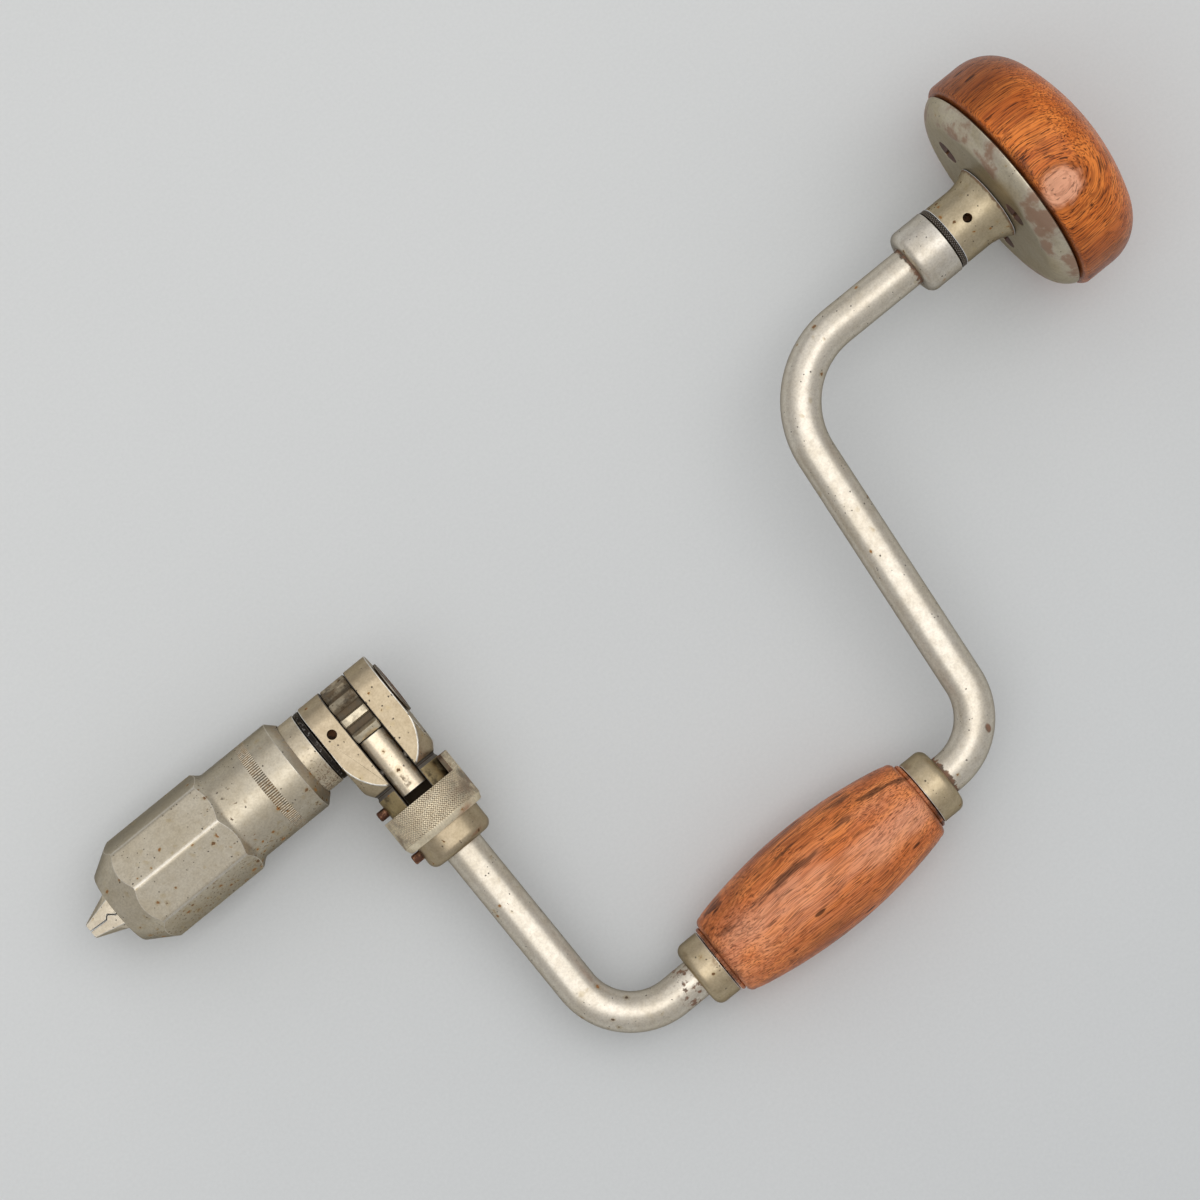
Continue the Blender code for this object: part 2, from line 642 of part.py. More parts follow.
def build_ratchet_box(brace):
    box = box_blank(brace)
    half = BOX_END_RADIUS + SHANK_RADIUS
    # A web between the pawls' tails closes the slot behind their spring.
    web_start = SPRING_ALONG + SPRING_COIL_RADIUS + SPRING_WIRE_RADIUS + CLEAR
    slot = block((-SLOT_HALF_WIDTH, -web_start, -half), (SLOT_HALF_WIDTH, half, half))
    over_web = block((-SLOT_HALF_WIDTH, -SLOT_END, SLOT_WEB_HALF_HEIGHT), (SLOT_HALF_WIDTH, 0.0, half))
    under_web = block((-SLOT_HALF_WIDTH, -SLOT_END, -half), (SLOT_HALF_WIDTH, 0.0, -SLOT_WEB_HALF_HEIGHT))
    past = 2 * BOX_HALF_WIDTH
    cutters = [
        place("slot_mill", slot, brace),
        place("slot_mill_over_web", over_web, brace),
        place("slot_mill_under_web", under_web, brace),
        place("spindle_drill", rod(bore(JOURNAL_OF_SPINDLE), -past, past, MEDIUM), brace, ALONG_SPINDLE),
        place(
            "rod_drill",
            rod(bore(ROD_RADIUS, COARSE, SEAT), ROD_SOCKET_START, 2 * SHANK_END),
            brace,
            ALONG_ARM,
        ),
        place(
            "box_oil_drill",
            rod(OIL_HOLE_RADIUS, JOURNAL_OF_SPINDLE / 2, 2 * BOX_HALF_HEIGHT),
            brace,
            location=(BOX_OIL_HOLE_X, 0.0, 0.0),
        ),
    ]
    for name, side in (("upper", 1), ("lower", -1)):
        spot = (0.0, -PAWL_PIVOT, side * PAWL_AXIS_Z)
        half_pin = PAWL_PIN_LENGTH / 2
        drill = rod(bore(PAWL_PIN_RADIUS, COARSE, SEAT), -half_pin - SEAT, half_pin + SEAT)
        cutters.append(place(f"pawl_pin_drill_{name}", drill, brace, ALONG_SPINDLE, spot))
        pin = rod(PAWL_PIN_RADIUS, -half_pin, half_pin)
        place(f"pawl_pin_{name}", pin, brace, ALONG_SPINDLE, spot, "bright_steel")
    above = RING_TOP - STOP_PIN_ABOVE - STOP_PIN_RADIUS
    below = RING_BOTTOM + CLEAR + STOP_PIN_RADIUS
    inner = -(ROD_RADIUS + STOP_PIN_TO_ROD)
    for name, along in (("upper", above), ("lower", below)):
        spot = (0.0, -along, 0.0)
        drill = rod(bore(STOP_PIN_RADIUS, COARSE, SEAT), -past, inner + CLEAR)
        cutters.append(place(f"stop_pin_drill_{name}", drill, brace, ALONG_SPINDLE, spot))
        pin = rod(STOP_PIN_RADIUS, -RING_RADIUS, inner)
        place(f"selector_pin_{name}", pin, brace, ALONG_SPINDLE, spot, "copper_pin")
    for cutter in cutters:
        combine(box, cutter, "DIFFERENCE", "MANIFOLD")


def build_selector_ring(brace):
    inner = bore(SHANK_RADIUS, FINE)
    hood_inner = RING_RADIUS - HOOD_WALL
    hood_top = RING_TOP - HOOD_HEIGHT
    profile = [
        (hood_top, hood_inner),
        (hood_top, RING_RADIUS),
        (RING_BOTTOM - RING_BEVEL, RING_RADIUS),
        (RING_BOTTOM, RING_RADIUS - RING_BEVEL / 2),
        (RING_BOTTOM, inner),
        (RING_TOP + RING_STEP, inner),
        (RING_TOP + RING_STEP, hood_inner),
    ]
    ring = place("selector_ring", lathe(profile, FINE, ring=True), brace, ALONG_ARM, look="nickel")
    steps = 12
    open_deg = 360 - 2 * HOOD_HALF_DEG
    outline = [(0.0, 0.0)]
    for step in range(steps + 1):
        outline.append(polar(2 * RING_RADIUS, HOOD_HALF_DEG + open_deg * step / steps))
    notch = prism(outline, hood_top - RING_STEP, RING_TOP)
    combine(ring, place("notch_mill", notch, brace, ALONG_ARM), "DIFFERENCE")


def build_pawl(brace, name, side):
    """A round bar in the slot whose nose drops between two teeth; side is 1 above, -1 below."""
    spot = (0.0, -PAWL_PIVOT, side * PAWL_AXIS_Z)
    clear_of_wheel = WHEEL_RADIUS + CLEAR
    top = PAWL_AXIS_Z + SLOT_HALF_WIDTH
    pitch = 360 / WHEEL_TEETH
    past_tooth = 90 + 2 * pitch - LAND_HALF_DEG
    last = 180 - math.degrees(math.asin(PAWL_BOTTOM_Z / clear_of_wheel))
    nose_y, nose_z = polar(WHEEL_RADIUS - PAWL_BITE, PAWL_NOSE_DEG)
    outline = [(-PAWL_TAIL, top), (nose_y, top), (nose_y, nose_z)]
    outline.append((nose_y - 2 * CLEAR, nose_z - CLEAR))
    steps = 4
    for step in range(steps + 1):
        outline.append(polar(clear_of_wheel, past_tooth + (last - past_tooth) * step / steps))
    outline.append((-PAWL_TAIL, PAWL_BOTTOM_Z))
    placed = [(y + PAWL_PIVOT, side * (z - PAWL_AXIS_Z)) for y, z in outline]
    shape = prism(placed, -SLOT_HALF_WIDTH, SLOT_HALF_WIDTH)
    pawl = place(name, shape, brace, ALONG_SPINDLE, spot, "nickel")
    bar = rod(SLOT_HALF_WIDTH - CLEAR, 0.0, 2 * PAWL_TAIL, MEDIUM)
    bar_spot = (0.0, 0.0, side * PAWL_AXIS_Z)
    combine(pawl, place(f"{name}_bar", bar, brace, ALONG_ARM, bar_spot), "INTERSECT")
    drill = rod(bore(PAWL_PIN_RADIUS, COARSE), -SHANK_RADIUS, SHANK_RADIUS)
    combine(pawl, place(f"{name}_drill", drill, brace, ALONG_SPINDLE, spot), "DIFFERENCE")


def coil(radius, wire, height, turns, sides=5, around=10):
    """A coil spring standing on Z, from -height / 2 to height / 2, with its ends left round."""
    count = turns * around
    climb = height - 2 * wire
    sections = []
    for step in range(count + 1):
        turn = 2 * math.pi * step / around
        outward = Vector((math.cos(turn), math.sin(turn), 0.0))
        centre = outward * radius + Vector((0.0, 0.0, climb * (step / count - 0.5)))
        section = []
        for side in range(sides):
            spread = 2 * math.pi * side / sides
            rise = Vector((0.0, 0.0, math.sin(spread)))
            section.append(centre + (outward * math.cos(spread) + rise) * wire)
        sections.append(section)
    return loft(sections)


def build_pawls(brace):
    build_pawl(brace, "pawl_upper", 1)
    build_pawl(brace, "pawl_lower", -1)
    height = 2 * (PAWL_BOTTOM_Z - CLEAR)
    shape = coil(SPRING_COIL_RADIUS, SPRING_WIRE_RADIUS, height, SPRING_TURNS)
    spot = (0.0, -SPRING_ALONG, 0.0)
    place("pawl_spring", shape, brace, location=spot, look="bright_steel")


def build_spindle(axis):
    """The chuck spindle, its ratchet wheel and what holds both in the box."""
    profile = [
        (SPINDLE_END_X, 0.0),
        (SPINDLE_END_X, JOURNAL_OF_SPINDLE),
        (SPINDLE_COLLAR_X, JOURNAL_OF_SPINDLE),
        (SPINDLE_COLLAR_X, SPINDLE_RADIUS),
        (SPINDLE_STEP_X, SPINDLE_RADIUS),
        (SPINDLE_STEP_X, SOCKET_RADIUS),
        (SOCKET_FRONT_X, SOCKET_RADIUS),
        (SOCKET_FRONT_X, 0.0),
    ]
    spindle = place("chuck_spindle", lathe(profile), axis, ALONG_SPINDLE, look="nickel")
    half = JAW_TANG_HALF_HEIGHT + CLEAR
    slot = block((2 * SOCKET_FRONT_X, -SPINDLE_RADIUS, -half), (SOCKET_FLOOR_X, SPINDLE_RADIUS, half))
    combine(spindle, place("jaw_slot_mill", slot, axis), "DIFFERENCE")
    hole = bore(JOURNAL_OF_SPINDLE, gap=SEAT)
    end = THRUST_WASHER_X + THRUST_WASHER_WIDTH
    profile = [
        (THRUST_WASHER_X, hole),
        (THRUST_WASHER_X, THRUST_WASHER_RADIUS),
        (end, THRUST_WASHER_RADIUS),
        (end, hole),
    ]
    place("spindle_thrust_washer", lathe(profile, ring=True), axis, ALONG_SPINDLE, look="dark_steel")
    start = SPINDLE_END_X - END_RING_WIDTH
    profile = [
        (start, hole),
        (start, END_RING_RADIUS),
        (SPINDLE_END_X, END_RING_RADIUS),
        (SPINDLE_END_X, hole),
    ]
    place("spindle_end_ring", lathe(profile, ring=True), axis, ALONG_SPINDLE, look="dark_steel")
    build_ratchet_wheel(axis, spindle)


def build_ratchet_wheel(axis, spindle):
    pitch = 360 / WHEEL_TEETH
    outline = []
    for tooth in range(WHEEL_TEETH):
        middle = 90 + pitch * tooth
        outline.append(polar(WHEEL_RADIUS, middle - LAND_HALF_DEG))
        outline.append(polar(WHEEL_RADIUS, middle + LAND_HALF_DEG))
        outline.append(polar(WHEEL_ROOT_RADIUS, middle + pitch / 2 - ROOT_HALF_DEG))
        outline.append(polar(WHEEL_ROOT_RADIUS, middle + pitch / 2 + ROOT_HALF_DEG))
    half = SLOT_HALF_WIDTH - CLEAR
    wheel = place("ratchet_wheel", prism(outline, -half, half), axis, ALONG_SPINDLE, look="nickel")
    hub = rod(bore(JOURNAL_OF_SPINDLE, gap=SEAT), -2 * half, 2 * half, MEDIUM)
    combine(wheel, place("wheel_drill", hub, axis, ALONG_SPINDLE), "DIFFERENCE")
    # The pin lies in the gap between two teeth, on the far side of the wheel's top.
    lean = (math.radians(-1.5 * pitch), 0.0, 0.0)
    spot = (WHEEL_PIN_X, 0.0, 0.0)
    past = 2 * WHEEL_RADIUS
    shape = rod(bore(WHEEL_PIN_RADIUS, COARSE, SEAT), -past, past)
    drill = place("wheel_pin_drill", shape, axis, lean, spot)
    combine(wheel, drill, "DIFFERENCE")
    combine(spindle, drill, "DIFFERENCE")
    reach = WHEEL_ROOT_RADIUS * math.cos(math.radians(ROOT_HALF_DEG))
    place("ratchet_wheel_pin", rod(WHEEL_PIN_RADIUS, -reach, reach), axis, lean, spot, "bright_steel")


def jaw_reach(x):
    """Distance from the spindle to the jaws' corners at x, which the closing ring's cone follows."""
    share = (x - NOSE_X) / (JAW_WIDE_X - NOSE_X)
    return JAW_NOSE_REACH + (JAW_WIDE_REACH - JAW_NOSE_REACH) * share


def nose_seat(x):
    """Radius of the coned seat inside the nose, one wall in from the outer cone."""
    slope = (OCTAGON_RADIUS - NOSE_RADIUS) / (OCTAGON_FRONT_X - NOSE_X)
    return NOSE_RADIUS + slope * (x - NOSE_X) - NOSE_WALL


def build_shell(axis):
    sleeve_hole = bore(SPINDLE_RADIUS)
    counterbore = bore(CLOSING_RING_RADIUS)
    lip_x = NOSE_X + NOSE_LIP
    seat = nose_seat(lip_x)
    seat_end_x = lip_x + (counterbore - seat) / (nose_seat(lip_x + 1) - seat)
    profile = rounded(
        [
            (lip_x, NOSE_HOLE_RADIUS, 0.0),
            (NOSE_X, NOSE_HOLE_RADIUS, 0.0),
            (NOSE_X, NOSE_RADIUS, NOSE_ROUND),
            (OCTAGON_FRONT_X, OCTAGON_RADIUS, 0.0),
            (OCTAGON_FRONT_X + TURNED_MARGIN, OCTAGON_RADIUS + TURNED_MARGIN, 0.0),
            (OCTAGON_REAR_X - TURNED_MARGIN, OCTAGON_RADIUS + TURNED_MARGIN, 0.0),
            (OCTAGON_REAR_X, OCTAGON_RADIUS, 0.0),
            (SLEEVE_FRONT_X - COVE_SETBACK, SHELL_SLEEVE_RADIUS, COVE_RADIUS),
            (SHELL_REAR_X - SHELL_REAR_CHAMFER, SHELL_SLEEVE_RADIUS, 0.0),
            (SHELL_REAR_X, sleeve_hole + CLEAR, 0.0),
            (SHELL_REAR_X, sleeve_hole, 0.0),
            (COUNTERBORE_END_X, sleeve_hole, 0.0),
            (COUNTERBORE_END_X, counterbore, 0.0),
            (seat_end_x, counterbore, 0.0),
            (lip_x, seat, 0.0),
        ]
    )
    shell = place("chuck_shell", lathe(profile, FINE, ring=True), axis, ALONG_SPINDLE, look="nickel")
    outline = [polar(OCTAGON_RADIUS, OCTAGON_TURN_DEG + 45 * side) for side in range(8)]
    flats = prism(outline, NOSE_X - TURNED_MARGIN, SHELL_REAR_X + TURNED_MARGIN)
    combine(shell, place("octagon_mill", flats, axis, ALONG_SPINDLE), "INTERSECT")
    end = CLOSING_RING_X + CLOSING_RING_LENGTH
    profile = [
        (CLOSING_RING_X, bore(jaw_reach(CLOSING_RING_X))),
        (CLOSING_RING_X, seat - CLEAR),
        (seat_end_x + CLEAR, CLOSING_RING_RADIUS),
        (end, CLOSING_RING_RADIUS),
        (end, bore(jaw_reach(end))),
    ]
    place("jaw_closing_ring", lathe(profile, ring=True), axis, ALONG_SPINDLE, look="bright_steel")


def jaw_sections():
    """Rows of (x, split, flat_y, side_y, side_z, top_z); split is where the two jaws meet."""
    tip = (JAW_TIP_FLAT, JAW_TIP_HALF_WIDTH, JAW_TIP_SIDE, JAW_TIP_HALF_HEIGHT)
    tang = (JAW_TANG_REACH - 2 * CLEAR, JAW_TANG_REACH, JAW_TANG_HALF_HEIGHT / 2, JAW_TANG_HALF_HEIGHT)

    def octagon(reach):
        flat_y, top_z = polar(reach, JAW_TOP_CORNER_DEG)
        side_y, side_z = polar(reach, JAW_SIDE_CORNER_DEG)
        return flat_y, side_y, side_z, top_z

    def between(x):
        share = (x - JAW_TIP_X) / (NOSE_X - JAW_TIP_X)
        return tuple(a + (b - a) * share for a, b in zip(tip, octagon(JAW_NOSE_REACH)))

    shoulder = octagon(JAW_WIDE_REACH)
    return [
        (JAW_TIP_X, 0.0, *tip),
        *((NOSE_X - ahead, split, *between(NOSE_X - ahead)) for ahead, split in JAW_ZIGZAG),
        (NOSE_X, 0.0, *octagon(JAW_NOSE_REACH)),
        (JAW_WIDE_X, 0.0, *shoulder),
        (JAW_SHOULDER_X, 0.0, *shoulder),
        (JAW_TANG_X, 0.0, *tang),
        (JAW_RELIEF_X - CLEAR, 0.0, *tang),
        (JAW_RELIEF_X, JAW_RELIEF, *tang),
        (JAW_TANG_END_X, JAW_RELIEF, *tang),
    ]


def build_jaw(axis, name, side, groove):
    """One jaw, on the far side of the spindle (side 1) or the grip's side (side -1)."""
    sections = []
    for x, split, flat_y, side_y, side_z, top_z in jaw_sections():
        meet = side * split if x < NOSE_X else split
        inner = meet + JAW_SPLIT_HALF_GAP
        upper = [(side_y, side_z), (flat_y, top_z), (inner, top_z)]
        loop = [(y, -z) for y, z in reversed(upper)] + upper
        sections.append([Vector((x - JAW_PIVOT_X, side * (y - JAW_PIVOT_Y), z)) for y, z in loop])
    spot = (JAW_PIVOT_X, side * JAW_PIVOT_Y, 0.0)
    jaw = place(name, loft(sections), axis, location=spot, look="nickel")
    combine(jaw, groove, "DIFFERENCE")


def build_jaws(axis):
    outline = [polar(JAW_GROOVE, 90 * side) for side in range(4)]
    groove = place("jaw_groove_mill", prism(outline, 2 * JAW_TIP_X, JAW_SHOULDER_X), axis, ALONG_SPINDLE)
    build_jaw(axis, "jaw_far_side", 1, groove)
    build_jaw(axis, "jaw_grip_side", -1, groove)
    outer = JAW_RELIEF - CLEAR + JAW_SPLIT_HALF_GAP
    inner = outer - JAW_SPRING_STRIP
    front = JAW_RELIEF_X + 2 * CLEAR
    back = JAW_TANG_END_X
    floor = back - JAW_SPRING_STRIP
    bend = outer / 2
    outside = [(front, -outer, 0.0), (back, -outer, bend), (back, outer, bend), (front, outer, 0.0)]
    bend = inner / 2
    inside = [(front, inner, 0.0), (floor, inner, bend), (floor, -inner, bend), (front, -inner, 0.0)]
    strip = rounded(outside) + rounded(inside)
    shape = prism(strip, -JAW_SPRING_HALF_HEIGHT, JAW_SPRING_HALF_HEIGHT)
    place("jaw_spring", shape, axis, look="bright_steel")


def build_chuck(brace):
    axis = empty("chuck_axis", brace)
    build_spindle(axis)
    build_shell(axis)
    build_jaws(axis)


def lay_down(brace):
    """Tilt the brace so that the chuck, the grip and the knob touch the table, then centre it."""
    knob_x = PLATE_X + KNOB_HEIGHT / 2
    grip_x = GRIP_START_X + GRIP_LENGTH / 2
    pitch = math.atan((KNOB_RADIUS - OCTAGON_RADIUS) / (knob_x - OCTAGON_FRONT_X))
    axis_height = OCTAGON_RADIUS * math.cos(pitch) - OCTAGON_FRONT_X * math.sin(pitch)
    drop = axis_height + grip_x * math.sin(pitch) - GRIP_RADIUS
    roll = math.asin(drop / SWEEP_RADIUS)
    brace.matrix_world = Matrix.Rotation(-pitch, 4, "Y") @ Matrix.Rotation(roll, 4, "X")
    bpy.context.view_layer.update()
    graph = bpy.context.evaluated_depsgraph_get()
    low = Vector((math.inf,) * 3)
    high = Vector((-math.inf,) * 3)
    for thing in bpy.context.scene.objects:
        if thing.type != "MESH" or thing.hide_render:
            continue
        solid = thing.evaluated_get(graph)
        for corner in solid.data.vertices:
            spot = solid.matrix_world @ corner.co
            low = Vector(map(min, low, spot))
            high = Vector(map(max, high, spot))
    brace.location = (-(low.x + high.x) / 2, -(low.y + high.y) / 2, -low.z)
    bpy.context.view_layer.update()


def main():
    clear_scene()
    brace = empty("brace")
    build_crank_frame(brace)
    build_grip(brace)
    build_head(brace)
    build_ratchet_box(brace)
    build_selector_ring(brace)
    build_pawls(brace)
    build_chuck(brace)
    lay_down(brace)


main()
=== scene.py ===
# %% [markdown]
# # A ratchet brace in worn nickel and varnished wood
#
# A carpenter's brace drives a bit with a bent crank. One hand leans on the head, the other swings
# the grip round, and the ratchet box lets the chuck drive on where there is no room for a full turn.
# The CAD frame already has every piece at its true size and place. This lesson makes each piece that
# shows again with finer shapes, and gives it the finish of an old tool that has seen much use.

# %% Load the frame
import json
import math
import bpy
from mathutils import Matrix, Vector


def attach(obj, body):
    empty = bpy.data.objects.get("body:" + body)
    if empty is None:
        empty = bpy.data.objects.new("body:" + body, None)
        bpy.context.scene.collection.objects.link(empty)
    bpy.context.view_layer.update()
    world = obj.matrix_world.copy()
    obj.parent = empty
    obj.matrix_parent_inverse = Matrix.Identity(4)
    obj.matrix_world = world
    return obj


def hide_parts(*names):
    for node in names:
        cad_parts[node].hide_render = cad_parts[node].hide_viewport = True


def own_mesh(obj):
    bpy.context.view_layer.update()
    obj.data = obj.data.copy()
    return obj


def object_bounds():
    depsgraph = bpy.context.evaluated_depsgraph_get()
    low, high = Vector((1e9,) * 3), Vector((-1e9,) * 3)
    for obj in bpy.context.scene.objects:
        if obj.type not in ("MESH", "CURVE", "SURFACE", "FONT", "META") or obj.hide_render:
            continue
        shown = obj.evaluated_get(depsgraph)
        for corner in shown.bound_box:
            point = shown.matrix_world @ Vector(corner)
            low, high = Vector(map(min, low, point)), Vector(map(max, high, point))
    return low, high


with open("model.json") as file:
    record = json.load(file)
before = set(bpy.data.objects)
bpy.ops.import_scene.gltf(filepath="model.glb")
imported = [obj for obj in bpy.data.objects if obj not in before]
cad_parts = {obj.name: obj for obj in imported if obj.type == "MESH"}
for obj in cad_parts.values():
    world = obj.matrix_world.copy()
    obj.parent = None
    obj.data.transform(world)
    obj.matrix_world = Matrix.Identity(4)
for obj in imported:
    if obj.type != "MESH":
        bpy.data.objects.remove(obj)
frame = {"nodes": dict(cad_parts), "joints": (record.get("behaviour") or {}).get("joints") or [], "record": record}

from types import SimpleNamespace

import bmesh
import bpy
from mathutils import Matrix, Vector

CAD_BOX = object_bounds()
BODY = {node: body for body, nodes in frame["record"]["behaviour"]["bodies"].items() for node in nodes}

# %% [markdown]
# ## The brace's own axes
#
# The brace lies tilted on the table, so its pieces are awkward to draw in the frame's axes. Each piece
# is drawn flat instead: X runs along the spindle towards the head, the grip lies at -Y, and Z is square
# to the crank. The joints say where these axes are in the frame, and one matrix moves a finished mesh
# there. Turned pieces are drawn about Z and laid along the spindle, the grip or the ratchet arm.

# %% Find the axes from the joints
JOINT = {row["name"]: row for row in frame["joints"]}


def brace_matrix():
    along = Vector(JOINT["chuck_spin"]["axis"]).normalized()
    across = -Vector(JOINT["selector_turn"]["axis"]).normalized()
    matrix = Matrix((along, across, along.cross(across))).transposed().to_4x4()
    matrix.translation = Vector(JOINT["chuck_spin"]["pos_m"])
    return matrix


BRACE = brace_matrix()
THROW = -(BRACE.inverted() @ Vector(JOINT["grip_spin"]["pos_m"])).y
ALONG_BRACE = Matrix.Identity(4)
ALONG_SPINDLE = Matrix(((0, 0, 1), (1, 0, 0), (0, 1, 0))).to_4x4()
ALONG_GRIP = Matrix.Translation((0.0, -THROW, 0.0)) @ ALONG_SPINDLE
ALONG_ARM = Matrix(((1, 0, 0), (0, 0, -1), (0, 1, 0))).to_4x4()
print(f"the grip swings {THROW * 1000:.1f} mm from the spindle")


# %% Measure a CAD node
def corners_of(node, axis):
    back = (BRACE @ axis).inverted()
    return [back @ corner.co for corner in frame["nodes"][node].data.vertices]


def turned_size(node, axis):
    """Start, end, smallest and largest radius of a CAD node about one of the brace's axes."""
    spots = corners_of(node, axis)
    along = [spot.z for spot in spots]
    out = [math.hypot(spot.x, spot.y) for spot in spots]
    return min(along), max(along), min(out), max(out)


def reach(node):
    """Lowest and highest corner of a CAD node, measured along the brace."""
    sides = list(zip(*corners_of(node, ALONG_BRACE)))
    return Vector([min(side) for side in sides]), Vector([max(side) for side in sides])


print("shell, in mm:", [round(size * 1000, 2) for size in turned_size("chuck_shell", ALONG_SPINDLE)])

# %% [markdown]
# ## Shapes that a workshop would know
#
# Nearly all of the brace is turned, bent, milled or drilled. So the helpers are a lathe, a bending
# bench, an extruding press and a set of cutters. Corners are rounded in the profile, before the lathe,
# because that costs nothing. Milled edges are eased with a Bevel modifier, which also gives the new
# narrow faces a second material: on a used tool the edges are rubbed brighter than the faces.

# %% Profiles
COARSE = 48
ROD_SIDES = 64
ROUND = 96
FINE = 128


def evenly(first, last, steps):
    """Values from first to last in equal steps."""
    return [first + (last - first) * step / steps for step in range(steps + 1)]


def polar(radius, degrees):
    turn = math.radians(degrees)
    return radius * math.cos(turn), radius * math.sin(turn)


def arc(centre, radius, first, last, steps):
    """Points on a circle from one angle to another, in degrees."""
    spokes = [polar(radius, degrees) for degrees in evenly(first, last, steps)]
    return [(centre[0] + a, centre[1] + b) for a, b in spokes]


def rounded(corners, steps=6):
    """Points of an open outline whose corners (a, b, radius) are rounded off with arcs."""
    points = []
    for index, (a, b, radius) in enumerate(corners):
        if not radius:
            points.append((a, b))
            continue
        here = Vector((a, b))
        back = (Vector(corners[index - 1][:2]) - here).normalized()
        ahead = (Vector(corners[index + 1][:2]) - here).normalized()
        half = back.angle(ahead) / 2
        centre = here + (back + ahead).normalized() * radius / math.sin(half)
        start = here + back * radius / math.tan(half) - centre
        end = here + ahead * radius / math.tan(half) - centre
        for turn in evenly(0.0, -start.angle_signed(end), steps):
            spoke = start.copy()
            spoke.rotate(Matrix.Rotation(turn, 2))
            points.append(tuple(centre + spoke))
    return points


# %% Solids
def lathe(profile, segments=ROUND, ring=True):
    """Spin a profile of (along, radius) points about Z; a ring's profile is a closed loop."""
    shape = bmesh.new()
    start = math.pi / segments
    across, up = math.cos(start), math.sin(start)
    corners = [shape.verts.new((radius * across, radius * up, along)) for along, radius in profile]
    edges = [shape.edges.new(pair) for pair in zip(corners, corners[1:])]
    if ring:
        edges.append(shape.edges.new((corners[-1], corners[0])))
    turn = {"cent": (0.0, 0.0, 0.0), "axis": (0.0, 0.0, 1.0), "angle": 2 * math.pi}
    bmesh.ops.spin(shape, geom=corners + edges, steps=segments, use_merge=True, **turn)
    return shape


def rod(radius, start, end, segments=COARSE):
    """A plain round bar along Z."""
    return lathe([(start, 0.0), (start, radius), (end, radius), (end, 0.0)], segments, ring=False)


def prism(outline, low, high):
    """Extrude an outline in XY from one height to another."""
    shape = bmesh.new()
    base = shape.faces.new([shape.verts.new((a, b, low)) for a, b in outline])
    lifted = bmesh.ops.extrude_face_region(shape, geom=[base])["geom"]
    corners = [item for item in lifted if isinstance(item, bmesh.types.BMVert)]
    bmesh.ops.translate(shape, verts=corners, vec=(0.0, 0.0, high - low))
    return shape


def block(low, high):
    outline = [(low[0], low[1]), (high[0], low[1]), (high[0], high[1]), (low[0], high[1])]
    return prism(outline, low[2], high[2])


def loft(sections):
    """Skin a row of sections, each a closed loop with the same number of points."""
    shape = bmesh.new()
    loops = [[shape.verts.new(point) for point in section] for section in sections]
    for before, after in zip(loops, loops[1:]):
        for index in range(len(before)):
            beside = (index + 1) % len(before)
            shape.faces.new((before[index], before[beside], after[beside], after[index]))
    shape.faces.new(loops[0])
    shape.faces.new(loops[-1])
    return shape


# %% From a shape to a piece
MERGE = 1e-7


def blank(name, shape, axis=ALONG_BRACE):
    """An object made from a shape, laid along one of the brace's axes."""
    bmesh.ops.remove_doubles(shape, verts=shape.verts[:], dist=MERGE)
    bmesh.ops.recalc_face_normals(shape, faces=shape.faces[:])
    shape.transform(axis)
    mesh = bpy.data.meshes.new(name)
    shape.to_mesh(mesh)
    shape.free()
    thing = bpy.data.objects.new(name, mesh)
    bpy.context.scene.collection.objects.link(thing)
    return thing


def worked(thing):
    """Keep what the modifiers make as the thing's own plain mesh."""
    graph = bpy.context.evaluated_depsgraph_get()
    mesh = bpy.data.meshes.new_from_object(thing.evaluated_get(graph))
    thing.modifiers.clear()
    thing.data = mesh
    return thing


def carve(thing, cutter, operation="DIFFERENCE"):
    """Cut one solid with another, which is used up."""
    step = thing.modifiers.new("carve", "BOOLEAN")
    step.object = cutter
    step.operation = operation
    step.solver = "MANIFOLD"
    worked(thing)
    bpy.data.objects.remove(cutter)
    return thing


# %% Ease the edges and settle a piece on its body
EASED = 0.00028
SLIVER = 0.00002
FLAT_ANGLE = math.radians(0.4)
SHARP = math.radians(35)
HARD = math.radians(50)


def tidy_cuts(thing):
    """Join the slivers that cutting leaves on flat faces, so that the edges can be eased."""
    shape = bmesh.new()
    shape.from_mesh(thing.data)
    bmesh.ops.remove_doubles(shape, verts=shape.verts[:], dist=SLIVER)
    bmesh.ops.dissolve_limit(shape, angle_limit=FLAT_ANGLE, verts=shape.verts[:], edges=shape.edges[:])
    shape.to_mesh(thing.data)
    shape.free()
    return thing


def evened(thing):
    """Shade smoothly over the eased edges, so that flat faces stay flat."""
    thing.data.shade_smooth()
    thing.data.set_sharp_from_angle(angle=HARD)
    normals = thing.modifiers.new("even shading", "WEIGHTED_NORMAL")
    normals.keep_sharp = True
    return worked(thing)


def finished(thing, look, edge=None, width=EASED, drills=()):
    """Give a piece its material, and its edges a narrow bevel with a brighter one; then drill it."""
    mesh = thing.data
    mesh.materials.clear()
    mesh.materials.append(look)
    mesh.shade_smooth()
    mesh.set_sharp_from_angle(angle=SHARP)
    if edge:
        mesh.materials.append(edge)
        bevel = thing.modifiers.new("eased edges", "BEVEL")
        bevel.width = width
        bevel.segments = 2
        bevel.limit_method = "ANGLE"
        bevel.angle_limit = SHARP
        bevel.material = 1
        bevel.use_clamp_overlap = False
        worked(thing)
        for cutter in drills:
            carve(thing, cutter)
        evened(thing)
    return thing


def mount(thing, node):
    """Move a finished piece to its place in the frame, on the body of a CAD node."""
    thing.data.transform(BRACE)
    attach(thing, BODY[node])
    print(f"{thing.name}: {len(thing.data.polygons)} faces on {BODY[node]}")


def settle(thing, *nodes):
    """Mount a piece, and let it stand for the CAD nodes that it replaces."""
    mount(thing, nodes[0])
    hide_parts(*nodes)


